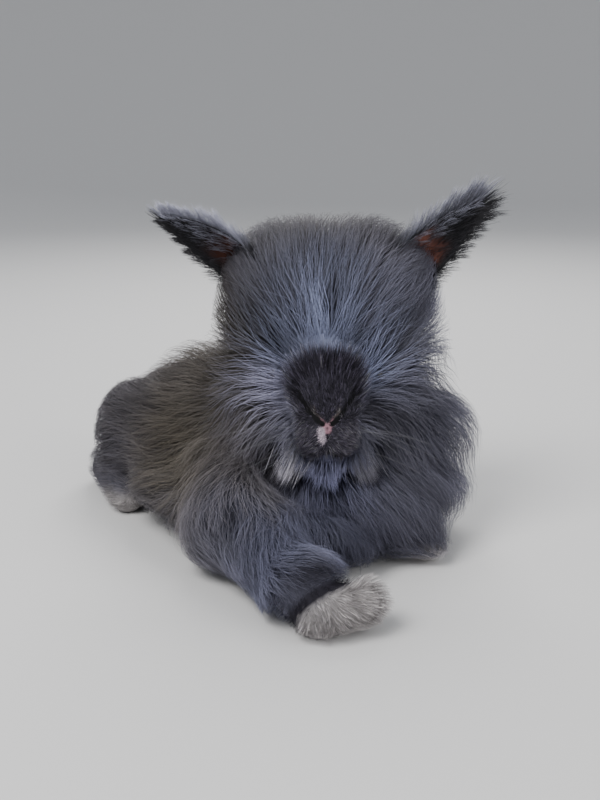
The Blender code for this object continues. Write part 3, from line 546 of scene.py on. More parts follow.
def near(points, centre, radius):
    """Close to 1 near a centre and 0 far from it. Centre and radius are in millimetres."""
    return np.exp(-((norm(points - np.array(centre) * MM) / (radius * MM)) ** 2))


def mix(colours, colour, weight):
    """Each colour drawn towards another by its own weight."""
    return colours + (colour - colours) * np.clip(weight, 0, 1)[:, None]


def past_crease(points):
    """How far points lie past the end of the right arm's long coat."""
    return (points - CREASE) @ CREASE_WAY


def paleness(points):
    """Where the feet are pale: past the crease on the right paw, and low down on the other feet."""
    paw = smooth(7 * MM, 1 * MM, distance(points, PAW_ROD[RIGHT])) * smooth(0, 2 * MM, past_crease(points))
    low = smooth(11 * MM, 7 * MM, points[:, 2])
    other = smooth(7 * MM, 1 * MM, distance(points, PAW_ROD[LEFT])) * low
    for side in (LEFT, RIGHT):
        toes = np.array(foot_path(side)[1]) * MM
        reach = norm(points - toes)
        other = np.maximum(other, smooth(17 * MM, 9 * MM, reach) * smooth(14 * MM, 8 * MM, points[:, 2]))
    return np.maximum(paw, other)


def face_reach(points):
    """How far points lie from the middle line of the short-haired face, seen from the front."""
    behind = np.maximum(points[:, 1] - 32 * MM, 0)
    return distance(points * np.array((0.85, 0, 1)), FACE_LINE) + behind


def above_mouth(points):
    """How far points lie above the line of the mouth, which drops away from the middle."""
    drop = 9.4 + 3.6 * smooth(0, 6 * MM, np.abs(points[:, 0]))
    return points[:, 2] - NOSE_HEIGHT + drop * MM


def marking(points):
    """The coat's colour at points of the skin, or where the coat over it is seen, with painted shade and
    painted highlights in it.
    """
    colours = np.tile(GREY, (len(points), 1))
    for colour, centre, radius, strength in PATCHES:
        colours = mix(colours, colour, strength * near(points, centre, radius))
    inner, outer = FACE_EDGE
    face = smooth(outer, inner, face_reach(points)) * smooth(-2 * MM, 1 * MM, above_mouth(points))
    colours = mix(colours, PAD, face)
    colours = mix(colours, DARK, face * smooth(65 * MM, 70 * MM, points[:, 2]))
    colours = mix(colours, RIM, 0.7 * smooth(1.3 * MM, 0.3 * MM, rim_field(points)))
    # a dark band just before the crease on the right paw: painted shade under the arm's long coat
    paw = smooth(9 * MM, 2 * MM, distance(points, PAW_ROD[RIGHT]))
    crease = past_crease(points)
    colours = mix(colours, DARK, paw * smooth(-7 * MM, -3 * MM, crease) * smooth(2 * MM, 0, crease))
    colours = mix(colours, TAN, paleness(points))
    colours = mix(colours, PINK, smooth(1.7 * MM, 0.9 * MM, pink_field(points)))
    colours = mix(colours, LIP, smooth(2.2 * MM, 1.2 * MM, white_field(points)))
    # painted shade in the nostril slits, the mouth line and the cleft, partly their own dark skin
    return mix(colours, DARK * 0.1, smooth(0.6 * MM, 0.1 * MM, groove_field(points)))


# Materials

def fill(node, sockets):
    """Sets sockets of a node to values, or links them to outputs of other nodes."""
    for key, value in sockets.items():
        if isinstance(value, bpy.types.NodeSocket):
            node.id_data.links.new(value, node.inputs[key])
        else:
            node.inputs[key].default_value = value


def add_node(material, kind, sockets, **settings):
    """A new node with its sockets filled. Gives its outputs."""
    node = material.node_tree.nodes.new("ShaderNode" + kind)
    for key, value in settings.items():
        setattr(node, key, value)
    fill(node, sockets)
    return node.outputs


def colour_material(name, look, bump=None):
    """A material that takes its colour from the tint attribute, varied by fine noise."""
    material = bpy.data.materials.new(name)
    material.use_nodes = True
    shader = material.node_tree.nodes["Principled BSDF"]
    tint = add_node(material, "Attribute", {}, attribute_name="tint")
    where = add_node(material, "TexCoord", {})
    noise = add_node(material, "TexNoise", {"Vector": where["Object"], "Scale": 900, "Detail": 3})
    spread = add_node(material, "MapRange", {"Value": noise["Fac"], "To Min": 0.72, "To Max": 1.3})
    varied = {"Vector": tint["Color"], "Scale": spread["Result"]}
    colour = add_node(material, "VectorMath", varied, operation="SCALE")
    fill(shader, {"Base Color": colour["Vector"], **look})
    if bump:
        uneven = add_node(material, "Bump", {"Height": noise["Fac"], **bump})
        fill(shader, {"Normal": uneven["Normal"]})
    return material


SKIN_LOOK = {"Roughness": 0.75, "Specular IOR Level": 0.15}
SKIN_MATERIAL = colour_material("skin", SKIN_LOOK, {"Strength": 0.5, "Distance": 0.3 * MM})
COAT_MATERIAL = colour_material("coat", {"Roughness": 0.5, "Specular IOR Level": 0.35})
EYE_MATERIAL = colour_material("eye", {"Roughness": 0.08, "Coat Weight": 0.6})


# The coat

STEPS, FACE_STEPS, WHISKER_STEPS = 4, 3, 8  # pieces of each strand's middle line
LOOSENESS = 0.75
FACE_RADIUS = 0.075 * MM
WHISKER_RADIUS = 0.08 * MM
PATCH = 0.003  # the size of a strand on the unwrap
WAVES = []
for scale, much in ((46, 0.30), (34, 0.30), (27, 0.25), (19, 0.25), (13, 0.22), (9, 0.20)):
    wave = unit(chance.normal(size=3)) * 2 * math.pi / (scale * MM)
    phase = chance.uniform(0, 2 * math.pi)
    WAVES.append((wave, phase, unit(chance.normal(size=3)) * much))


def wander(points):
    """A smooth, random way that turns the lie of the coat a little from place to place."""
    return sum(np.sin(points @ wave + phase)[:, None] * way for wave, phase, way in WAVES)


def comb(roots, core, lengths, rise, sway):
    """Middle lines of many strands at once, each step a share of the strand's length.

    rise is how deep under the outline each tip ends, as a share of the coat's depth at its root.
    """
    points = roots.copy()
    out = slope(core, points)
    start_depth = -OUTLINE(points)
    stride = lengths / STEPS
    paths, ups = [points - out * 0.6 * MM], [out]
    for step in range(1, STEPS + 1):
        share = step / STEPS
        out = slope(OUTLINE, points)
        flow = lie(points) + wander(points) * LOOSENESS * (0.4 + 0.5 * share)
        flow = unit(flow - out * (flow * out).sum(axis=1)[:, None])
        side = np.cross(out, flow)
        turn = sway * (0.6 + 0.8 * share) + chance.normal(0, 0.12 * LOOSENESS, len(points))
        flow = flow * np.cos(turn)[:, None] + side * np.sin(turn)[:, None]
        wanted = start_depth * (rise + (1 - rise) * (1 - share) ** 1.5)
        lift = np.clip((-OUTLINE(points) - wanted) / stride, -0.5, 0.88)
        way = flow * np.sqrt(1 - lift**2)[:, None] + out * lift[:, None]
        low = np.clip((points[:, 2] - 3 * MM) / (14 * MM), 0, 1)
        way[:, 2] = np.where(way[:, 2] < 0, way[:, 2] * low, way[:, 2])
        points = points + way * stride[:, None]
        points[:, 2] = np.maximum(points[:, 2], 0.9 * MM)
        paths.append(points.copy())
        ups.append(out)
    return np.array(paths), np.array(ups)


def clump(paths, every, pull):
    """Draws neighbouring strands together towards their tips. Also says which strand each one follows."""
    count = paths.shape[1]
    leaders = chance.choice(count, max(1, count // every), replace=False)
    tree = KDTree(len(leaders))
    for index, leader in enumerate(leaders):
        tree.insert(paths[1, leader], index)
    tree.balance()
    nearest = np.array([leaders[tree.find(point)[1]] for point in paths[1]])
    steps = len(paths) - 1
    for step in range(1, steps + 1):
        weight = pull * (step / steps) ** 1.4
        paths[step] += (paths[step][nearest] - paths[step]) * weight[:, None]
    return paths, nearest


def strand_mesh(name, paths, ups, radius, tints, patches, root_shade_tip_light):
    """Closed three-sided strands round their middle lines, each drawn to a point.

    patches are the places of their roots on an unwrap, and the last argument is how bright each is at root
    and tip: darker roots are painted shade deep in the coat, and lighter tips are partly the hair's own
    paler tips and partly a painted highlight.
    """
    rings, count = len(paths) - 1, paths.shape[1]
    along = np.empty_like(paths[:-1])
    along[0] = paths[1] - paths[0]
    along[1:] = paths[2:] - paths[:-2]
    along = unit(along)
    side = unit(np.cross(along, ups[:-1]))
    up = np.cross(side, along)
    points = np.empty((count, rings * 3 + 1, 3))
    shares = np.zeros(rings * 3 + 1)
    for ring in range(rings):
        share = ring / rings
        thick = radius * (1 - 0.75 * share**1.6)
        for corner in range(3):
            spin = math.radians(90 + 120 * corner)
            offset = side[ring] * (math.cos(spin) * 1.3) + up[ring] * math.sin(spin)
            points[:, ring * 3 + corner] = paths[ring] + offset * thick[:, None]
            shares[ring * 3 + corner] = share
    points[:, -1] = paths[-1]
    shares[-1] = 1.0
    points[:, :, 2] = np.maximum(points[:, :, 2], STRAND_LOWEST)
    faces = [(0, 1, 2)]
    for ring in range(rings - 1):
        for corner in range(3):
            a, b = ring * 3 + corner, ring * 3 + (corner + 1) % 3
            faces += [(a, b + 3, b), (a, a + 3, b + 3)]
    last = (rings - 1) * 3
    faces += [(last + (corner + 1) % 3, last + corner, rings * 3) for corner in range(3)]
    faces = np.array(faces)
    size = rings * 3 + 1
    corners = (faces[None] + (np.arange(count) * size)[:, None, None]).reshape(-1)
    mesh = bpy.data.meshes.new(name)
    mesh.vertices.add(count * size)
    mesh.vertices.foreach_set("co", points.astype(np.float32).ravel())
    mesh.loops.add(len(corners))
    mesh.loops.foreach_set("vertex_index", corners.astype(np.int32))
    total = len(corners) // 3
    mesh.polygons.add(total)
    mesh.polygons.foreach_set("loop_start", np.arange(total, dtype=np.int32) * 3)
    mesh.update(calc_edges=True)
    across = np.tile((np.arange(size) % 3) / 3 - 0.33, (count, 1))
    along_strand = np.tile(shares - 0.5, (count, 1))
    spots = np.stack([across * PATCH, along_strand * PATCH], axis=2) + patches[:, None, :]
    layer = mesh.uv_layers.new(name="OFBake")
    layer.data.foreach_set("uv", spots.reshape(-1, 2)[corners].astype(np.float32).ravel())
    # painted shade at the roots, deep in the coat, growing lighter to the tips, partly a painted highlight
    shade = root_shade_tip_light[0] + (root_shade_tip_light[1] - root_shade_tip_light[0]) * shares[None, :, None]
    finish_mesh(mesh, (tints[:, None, :] * shade).reshape(-1, 3))
    return mesh


def round_unwrap(centre, axis):
    """Gives the places of points on an equal-area unwrap of a round form, from 0 to 1."""
    basis = np.array(Vector(axis).normalized().to_track_quat("Z", "Y").to_matrix())

    def unwrap(points):
        ways = unit(points - np.array(centre) * MM) @ basis
        spread = np.sqrt(2 / np.maximum(1 + ways[:, 2], 1e-4))[:, None] * ways[:, :2] / 4
        return np.clip(0.5 + spread, 0.005, 0.995)

    return unwrap


def limb_unwrap(*corners):
    """Gives the places of points on an unwrap of a limb: round it, and along its corners."""
    corners = np.array(corners) * MM

    def unwrap(points):
        best, found = np.full(len(points), 1e9), np.zeros((len(points), 2))
        for index, (start, end) in enumerate(zip(corners, corners[1:])):
            line = end - start
            share = np.clip((points - start) @ line / (line @ line), 0, 1)
            away = points - start - share[:, None] * line
            along = Vector(line).normalized()
            across = along.cross(Vector((0, 0, 1))).normalized()
            up = np.array(across.cross(along))
            turn = np.arctan2(away @ up, away @ np.array(across)) / (2 * math.pi) + 0.5
            reach = norm(away)
            closer = reach < best
            best = np.where(closer, reach, best)
            found[closer] = np.column_stack([turn, (index + share) / (len(corners) - 1)])[closer]
        return 0.01 + 0.98 * found

    return unwrap


HEAD_UNWRAP = round_unwrap((0, 50, 90), (0, 0.6, 1))
NOSE_POINT = np.array((0, 9, 65)) * MM
PAW_MIDDLE = np.array((0, -64, 13)) * MM
SHOULDER = (-49, 25, 38)  # millimetres; the coat of the neck hangs over the arm here


def head_lie(points):
    """Away from the nose, then backward over the crown and down over the cheeks."""
    away = unit(points - FACE_CENTRE)
    down = np.clip((88 * MM - points[:, 2]) / (40 * MM), 0, 1)
    back = np.clip((points[:, 2] - 118 * MM) / (35 * MM), 0, 1)
    outward = points[:, 0] / (40 * MM) * back
    behind = smooth(62 * MM, 88 * MM, points[:, 1])
    return away + np.column_stack([0.5 * outward, 0.15 + 0.5 * back, -0.5 * down - 0.9 * behind])


def neck_lie(points):
    """Down and out from the head, and forward over the top of the right arm."""
    over_arm = near(points, (-18, -6, 28), 15)[:, None] * np.array((-0.1, -1.1, 0.4))
    return unit(points - np.array((2, 60, 98)) * MM) + np.array((0, 0, -0.55)) + over_arm


def torso_lie(points):
    return np.tile(place(1, 0, -0.35), (len(points), 1))


def tail_lie(points):
    return np.tile(place(1, 0, 0.25), (len(points), 1))


def limb_lie(corners, spread=0.0, fall=(0, 0, -0.25)):
    """Along a limb, and out from the middle of the paw at its end."""
    corners = np.array(corners) * MM
    middles, ways = (corners[1:] + corners[:-1]) / 2, unit(corners[1:] - corners[:-1])

    def lie_of(points):
        nearest = norm(points[:, None] - middles[None]).argmin(axis=1)
        out = unit(points - PAW_MIDDLE) * (spread * smooth(-6 * MM, 4 * MM, past_crease(points)))[:, None]
        return unit(ways[nearest] + np.array(fall) + out)

    return lie_of


LIES = {
    "head": head_lie,
    "neck": neck_lie,
    "torso": torso_lie,
    "tail": tail_lie,
    "foreleg_left": limb_lie([*FORELEG_PATHS[LEFT], PAW_PATHS[LEFT][1]]),
    "foreleg_right": limb_lie([*FORELEG_PATHS[RIGHT], PAW_PATHS[RIGHT][1]], 1.8, (-0.35, -0.1, -0.35)),
    "hindleg_left": torso_lie,
    "hindleg_right": torso_lie,
}
LIE_BLEND = 7 * MM  # how softly the lie of one part turns into the next


def lie(points):
    """The way the coat lies, turning smoothly from one part of the body to the next."""
    depths = np.array([CORE_FIELDS[name](points) for name in LIES])
    weights = np.exp((depths.min(axis=0) - depths) / LIE_BLEND)
    return unit(sum(weight[:, None] * unit(LIES[name](points)) for name, weight in zip(LIES, weights)))


def face_length(points):
    """Shortest on the nose, and longer away from it."""
    nose = np.minimum(pink_field(points), white_field(points))
    away = norm(points - NOSE_POINT)
    return (1.3 + 1.9 * smooth(1.5 * MM, 4 * MM, nose) + 6 * smooth(11 * MM, 24 * MM, away)) * MM


def head_length(points):
    """Soon long beside the short-haired face and under the mouth."""
    beside = 41 * smooth(13 * MM, 24 * MM, face_reach(points))
    under = 11 * smooth(0, -5 * MM, above_mouth(points))
    return (7 + np.maximum(beside, under)) * MM


def neck_length(points):
    """Longest where it hangs over the right shoulder."""
    return (44 + 10 * near(points, (-32, 24, 44), 30)) * MM


def arm_length(points):
    """Long down to the crease, shortest in it, and short past it."""
    crease = past_crease(points)
    before = np.clip(-crease - 5 * MM, 0, 40 * MM)
    return (4.5 + 2.5 * smooth(0, 3 * MM, crease)) * MM + 0.82 * before


def leg_length(side, most):
    """Short on the paw and the foot and low down, and longer away from them."""

    def length(points):
        paw = np.minimum(distance(points, PAW_ROD[side]), distance(points, FOOT_ROD[side]))
        high = 6 * smooth(7 * MM, 12 * MM, points[:, 2])
        return (3.5 + high + (most - 9.5) * smooth(0, 14 * MM, paw)) * MM

    return length


def even(most):
    return lambda points: np.full(len(points), most * MM)


REGIONS = {  # how many strands, how long they are, and the unwrap of their roots
    "head": (17500, head_length, HEAD_UNWRAP),
    "neck": (13000, neck_length, round_unwrap((0, 50, 40), (0, -1, 0.2))),
    "torso": (10500, even(44), round_unwrap(place(112, 0, 30), (0, 0, 1))),
    "tail": (1000, even(20), round_unwrap(place(189, 0, 43), (0, 1, 1))),
    "foreleg_left": (1800, leg_length(LEFT, 24), limb_unwrap(*FORELEG_PATHS[LEFT], *PAW_PATHS[LEFT])),
    "foreleg_right": (6000, arm_length, limb_unwrap(*FORELEG_PATHS[RIGHT], *PAW_PATHS[RIGHT])),
    "hindleg_left": (2600, leg_length(LEFT, 38), round_unwrap(place(136, -38, 21), (1, 0, 1))),
    "hindleg_right": (3200, leg_length(RIGHT, 38), round_unwrap(place(136, 38, 21), (-1, 0, 1))),
}
MOST_TRIANGLES = 190000  # in one piece of coat
SCATTERED = 420000  # places over the skin, from which the roots are picked
LOWEST_ROOT = 2.5 * MM
DEEPEST_ROOT = 34 * MM
FACE_REACH = 14 * MM
FACE_HAIRS = 6500
LOCK, WISP_SIZE, FACE_WISP, BEARD_WISP, EAR_WISP = 60, 12, 7, 9, 14  # strands that draw together


def scatter(mesh, count):
    """Points spread at random over a mesh, evenly by area."""
    mesh.calc_loop_triangles()
    corners = np.empty(len(mesh.loop_triangles) * 3, np.int32)
    mesh.loop_triangles.foreach_get("vertices", corners)
    a, b, c = points_of(mesh)[corners.reshape(-1, 3)].transpose(1, 0, 2)
    areas = norm(np.cross(b - a, c - a)) / 2
    chosen = chance.choice(len(areas), count, p=areas / areas.sum())
    u, v = chance.random((2, count))
    flip = u + v > 1
    u, v = np.where(flip, 1 - u, u)[:, None], np.where(flip, 1 - v, v)[:, None]
    return a[chosen] + (b - a)[chosen] * u + (c - a)[chosen] * v


def clear_of_eyes(paths):
    """Which strands stay out of a funnel beside each eye, and a few of those that don't."""
    clear = np.ones(paths.shape[1], bool)
    for side in (LEFT, RIGHT):
        centre = EYES[side] / MM
        funnel = rod(centre + np.array((side * 3, 2, 1)), centre + np.array((side * 28, 10, 6)), 4.0, 5.6)
        for points in paths:
            clear &= distance(points, funnel) > 0
    return clear | (chance.random(len(clear)) < 0.12)


def clear_of_face(roots):
    """Which roots leave the nose and the lines of nostrils and mouth bare."""
    return (pink_field(roots) > 0.8 * MM) & (groove_field(roots) > 0.3 * MM)


def add_coat(name, paths, ups, radius, tints, patches, slot="coat", root_shade_tip_light=(0.6, 1.32)):
    """One or more pieces of coat, none of them too heavy."""
    count = paths.shape[1]
    pieces = math.ceil(count * (6 * len(paths) - 8) / MOST_TRIANGLES)
    for number, part in enumerate(np.array_split(np.argsort(paths[0, :, 0]), pieces)):
        label = f"coat_{name}" + (f"_{number + 1}" if pieces > 1 else "")
        looks = radius[part], tints[part], patches[part], root_shade_tip_light
        add_piece(label, strand_mesh(label, paths[:, part], ups[:, part], *looks), COAT_MATERIAL)


def grow(skin):
    """The whole coat of the skin: locks of wisps of strands, some of them longer guard hairs."""
    roots = scatter(skin, SCATTERED)
    roots = roots[roots[:, 2] > LOWEST_ROOT]
    roots = roots[OUTLINE(roots) > -DEEPEST_ROOT]
    roots = roots[clear_of_face(roots)]
    owner = np.array([blended(shapes, 1 * MM)(roots) for shapes in CORES.values()]).argmin(axis=0)
    face = (owner == 0) & (face_reach(roots) < FACE_REACH) & (above_mouth(roots) > 0)
    grow_face(roots[face])
    roots, owner = roots[~face], owner[~face]
    for index, (name, (count, length, unwrap)) in enumerate(REGIONS.items()):
        mine = roots[owner == index]
        pale = paleness(mine)
        weights = (1 + 3 * pale) * (1 - (0.85 if "foreleg" in name else 0) * near(mine, SHOULDER, 26))
        picked = np.argsort(-chance.random(len(mine)) ** (1 / weights))[:count]
        mine, pale = mine[picked], pale[picked]
        many = len(mine)
        guard = chance.random(many) < 0.3
        lengths = length(mine) * chance.uniform(0.75, 1.15, many) * np.where(guard, 1.06, 1)
        rise = np.where(guard, -0.05, 0.0) + 0.6 * chance.random(many) ** np.where(guard, 3.0, 1.5)
        rise -= pale * chance.uniform(0.2, 1.4, many)
        sway = chance.normal(0, 1, many) * np.where(guard, 0.24, 0.15)
        paths, ups = comb(mine, CORE_FIELDS[name], lengths, rise, sway)
        paths, lock = clump(paths, LOCK, chance.uniform(0.05, 0.32, many))
        paths, wisp = clump(paths, WISP_SIZE, chance.uniform(0.1, 0.5, many) * np.where(guard, 0.6, 1))
        keep = clear_of_eyes(paths) if name == "head" else np.ones(many, bool)
        seen = mine if "leg" in name else paths[STEPS // 2]
        shade = chance.uniform(0.72, 1.32, many)[lock] * chance.uniform(0.86, 1.16, many)[wisp]
        shade *= chance.uniform(0.88, 1.14, many) * np.where(guard, 1.2, 0.92)
        shade *= np.exp(pale * chance.normal(-0.1, 0.4, many))
        tints = marking(seen + chance.normal(0, 1.2 * MM, seen.shape)) * shade[:, None]
        radius = STRAND_RADIUS * chance.uniform(0.8, 1.2, many) * np.where(guard, 0.75, 1)
        radius *= np.clip(lengths / (16 * MM), 0.55, 1)
        slot = "leg_coat" if "leg" in name else "coat"
        add_coat(name, paths[:, keep], ups[:, keep], radius[keep], tints[keep], unwrap(mine[keep]), slot)


def grow_face(roots):
    """Short hair that fans out from the nose."""
    roots = roots[:FACE_HAIRS]
    lengths = face_length(roots) * chance.uniform(0.8, 1.2, len(roots))
    core = CORE_FIELDS["head"]
    points, paths, ups = roots.copy(), [roots - slope(core, roots) * 0.5 * MM], [slope(core, roots)]
    erect = chance.uniform(0.25, 0.75, len(roots))
    for step in range(1, FACE_STEPS + 1):
        out = slope(core, points)
        flow = unit(points - NOSE_POINT) + 0.25 * wander(points) + chance.normal(0, 0.12, points.shape)
        flow = unit(flow - out * (flow * out).sum(axis=1)[:, None])
        lift = erect * (1.15 - step / FACE_STEPS)
        way = flow * np.sqrt(1 - lift**2)[:, None] + out * lift[:, None]
        points = points + way * (lengths / FACE_STEPS)[:, None]
        paths.append(points.copy())
        ups.append(out)
    paths, leader = clump(np.array(paths), FACE_WISP, chance.uniform(0.1, 0.5, len(roots)))
    loose = (0.3 + 1.6 * smooth(7 * MM, 14 * MM, face_reach(roots))) * MM
    colours = marking(roots + chance.normal(0, 1, roots.shape) * loose[:, None])
    shade = np.exp(chance.normal(-0.1, 0.5, len(roots))) * np.where(chance.random(len(roots)) < 0.16, 2.8, 1)
    shade *= chance.uniform(0.6, 1.5, len(roots))[leader]
    tints = np.minimum(colours * shade[:, None], np.maximum(colours, 0.16))
    radius = FACE_RADIUS * chance.uniform(0.8, 1.2, len(roots))
    patches = HEAD_UNWRAP(roots)
    add_coat("face", paths, np.array(ups), radius, tints, patches, root_shade_tip_light=(0.6, 2.2))


def drooping(roots, way, lengths, droop, steps):
    """Middle lines that leave their roots straight and bend more and more towards their tips."""
    shares = np.linspace(0, 1, steps + 1)[:, None, None]
    return roots + way * shares * lengths[:, None] + droop * shares**2 * lengths[:, None]


def grow_beard(side, count=400):
    """The pale tuft that hangs from a corner of the mouth."""
    root = np.array((side * 14.5, 10, 53)) * MM
    roots = settle(root + chance.normal(0, 1, (count, 3)) * np.array((3.8, 2, 1.2)) * MM, flesh_field)
    way = unit(np.array((side * 0.45, -0.62, -0.72)) + chance.normal(0, 0.12, (count, 3)))
    lengths = chance.uniform(9, 20, count) * MM
    paths = drooping(roots, way, lengths, np.array((side * 0.1, 0.25, -0.3)), STEPS)
    paths, _ = clump(paths, BEARD_WISP, chance.uniform(0.0, 0.45, count))
    ups = np.tile(np.array((side * 0.4, -0.85, 0.35)), (STEPS + 1, count, 1))
    colour = GREY + (PALE - GREY) * BEARD_PALENESS[side]
    tints = colour * chance.uniform(0.6, 1.3, count)[:, None]
    radius = STRAND_RADIUS * chance.uniform(0.6, 0.9, count)
    patches = HEAD_UNWRAP(roots)
    add_coat(f"beard_{SIDE_NAMES[side]}", paths, ups, radius, tints, patches, root_shade_tip_light=(0.6, 1.3))


def random_rows(count, *ranges):
    return np.column_stack([chance.uniform(low, high, count) for low, high in ranges])


def grow_whiskers(side, count=6):
    """Long, fine, springy hairs from the pad beside the nose."""
    own_side = np.array((side, 1, 1))
    roots = settle(random_rows(count, (7, 12), (4, 9), (55, 64)) * own_side * MM, flesh_field)
    way = unit(random_rows(count, (0.8, 1.0), (-0.45, 0.1), (-0.35, 0.15)) * own_side)
    lengths = chance.uniform(26, 46, count) * MM
    paths = drooping(roots, way, lengths, np.array((0, 0.15, -0.28)), WHISKER_STEPS)
    ups = np.tile(np.array((0.0, -0.5, 0.85)), (WHISKER_STEPS + 1, count, 1))
    tints = np.tile(WHISKER, (count, 1))
    radius = np.full(count, WHISKER_RADIUS)
    patches = HEAD_UNWRAP(roots)
    add_coat(f"whiskers_{SIDE_NAMES[side]}", paths, ups, radius, tints, patches, root_shade_tip_light=(0.6, 1.2))


# Ears

EAR_BASES = {LEFT: (20, 57, 119), RIGHT: (-17, 57, 124)}
EAR_TURNS = {LEFT: (1, -0.1, 0.84), RIGHT: (-1, -0.05, 0.66)}
EAR_OPENINGS = {LEFT: (0.25, -1.0, -0.3), RIGHT: (-0.1, -0.75, -0.6)}
EAR_CURL = {LEFT: 3 * MM, RIGHT: 11 * MM}
EAR_SHARES = (0.0, 0.12, 0.26, 0.4, 0.54, 0.68, 0.8, 0.9, 0.97)
EAR_PROFILE = (0.5, 0.74, 0.94, 1.0, 0.96, 0.84, 0.66, 0.42, 0.2)
EAR_SPREAD = (160, 138, 104, 80, 66, 58, 52, 46, 40)
EAR_DARK = rgb(0.018, 0.017, 0.02)
# grey-blue hair on the ears' upper edges and folded tips, partly a painted highlight
EAR_GREY_HIGHLIGHT = rgb(0.37, 0.372, 0.46)
# warm skin inside each ear; the right ear's, which opens downward, is painted much darker as shade
EAR_INSIDE_LIT_AND_SHADED = {LEFT: rgb(0.19, 0.07, 0.05), RIGHT: rgb(0.05, 0.016, 0.01)}
EAR_STREAKS = {LEFT: 0.9, RIGHT: 2.2}  # how grey the hair of the upper edge is, partly a painted highlight
EAR_GREY_TO = {LEFT: 0.2, RIGHT: 0.7}  # how far from edge to edge the grey and its painted highlight reach
EAR_TIP_HAIR = {LEFT: 1.0, RIGHT: 0.55}
EAR_STRANDS = 3600


def ear_frame(side):
    """The base of an ear, its axis, the way it opens and the way across."""
    axis = Vector(EAR_TURNS[side]).normalized()
    opening = Vector(EAR_OPENINGS[side])
    opening = (opening - axis * opening.dot(axis)).normalized()
    across = axis.cross(opening)
    return np.array(EAR_BASES[side]) * MM, np.array(axis), np.array(opening), np.array(across)


def ear_points(side, shares, angles, inside):
    """Points of an ear, and the ways out of its back there.

    shares run from base to tip, angles from edge to edge as -1 to 1, and inside is a depth under the back.
    """
    base, axis, opening, across = ear_frame(side)
    width = EAR_WIDTH * np.interp(shares, EAR_SHARES, EAR_PROFILE)
    spread = np.radians(np.interp(shares, EAR_SHARES, EAR_SPREAD))
    radius = width / 2 / np.sin(np.minimum(spread, math.pi / 2))
    angle = spread * angles
    out = radius - inside
    back = base + axis * (EAR_LENGTH * shares)[:, None] + opening * (EAR_CURL[side] * shares**3)[:, None]
    outward = opening * -np.cos(angle)[:, None] + across * np.sin(angle)[:, None]
    return back + opening * radius[:, None] + outward * out[:, None], outward


def make_ear(side):
    """The thin cup of an ear: an outer and an inner surface, joined round the edge."""
    rows, columns = 40, 24
    shares = np.linspace(0, 0.985, rows)
    angles = np.linspace(-1, 1, columns)
    grid_shares, grid_angles = np.repeat(shares, columns), np.tile(angles, rows)
    wall = EAR_WALL * (1.05 - 0.6 * grid_shares) * (1 - 0.55 * np.abs(grid_angles) ** 6)
    outer, _ = ear_points(side, grid_shares, grid_angles, np.full(rows * columns, 0.25 * MM))
    inner, _ = ear_points(side, grid_shares, grid_angles * 0.985, wall)
    points = np.concatenate([outer, inner])
    many = rows * columns
    spots = np.arange(2 * many).reshape(2, rows, columns)
    closed = np.concatenate([spots[0], spots[1, :, ::-1], spots[0, :, :1]], axis=1)
    faces = grid_faces(closed) + grid_faces(spots[:, 0]) + grid_faces(spots[:, -1])
    mesh = bpy.data.meshes.new("ear")
    mesh.from_pydata(points.tolist(), [], faces)
    shape = bmesh.new()
    shape.from_mesh(mesh)
    bmesh.ops.recalc_face_normals(shape, faces=shape.faces)
    shape.to_mesh(mesh)
    shape.free()
    warm = smooth(0.72, 0.45, grid_shares) * smooth(0.95, 0.5, np.abs(grid_angles))
    # the right ear's warm inside is painted darker, as shade
    inside = mix(np.tile(EAR_DARK * 0.7, (many, 1)), EAR_INSIDE_LIT_AND_SHADED[side], warm)
    tint = np.concatenate([np.tile(EAR_DARK * 0.8, (many, 1)), inside])
    finish_mesh(mesh, tint)
    return mesh


EAR_HAIR = (  # share of the count, from base to tip, from edge to edge, length, lift, and whether inside
    (0.28, (0.03, 0.97), (-1.0, 1.0), (6, 11), 0.30, False),
    (0.16, (0.08, 0.98), (0.85, 1.0), (8, 14), 0.10, False),
    (0.24, (0.02, 0.98), (-1.0, -0.7), (11, 20), 0.35, False),
    (0.12, (0.84, 0.985), (-1.0, 1.0), (13, 22), 0.30, False),
    (0.20, (0.10, 0.97), (-0.97, 0.95), (5, 10), 0.40, True),
)


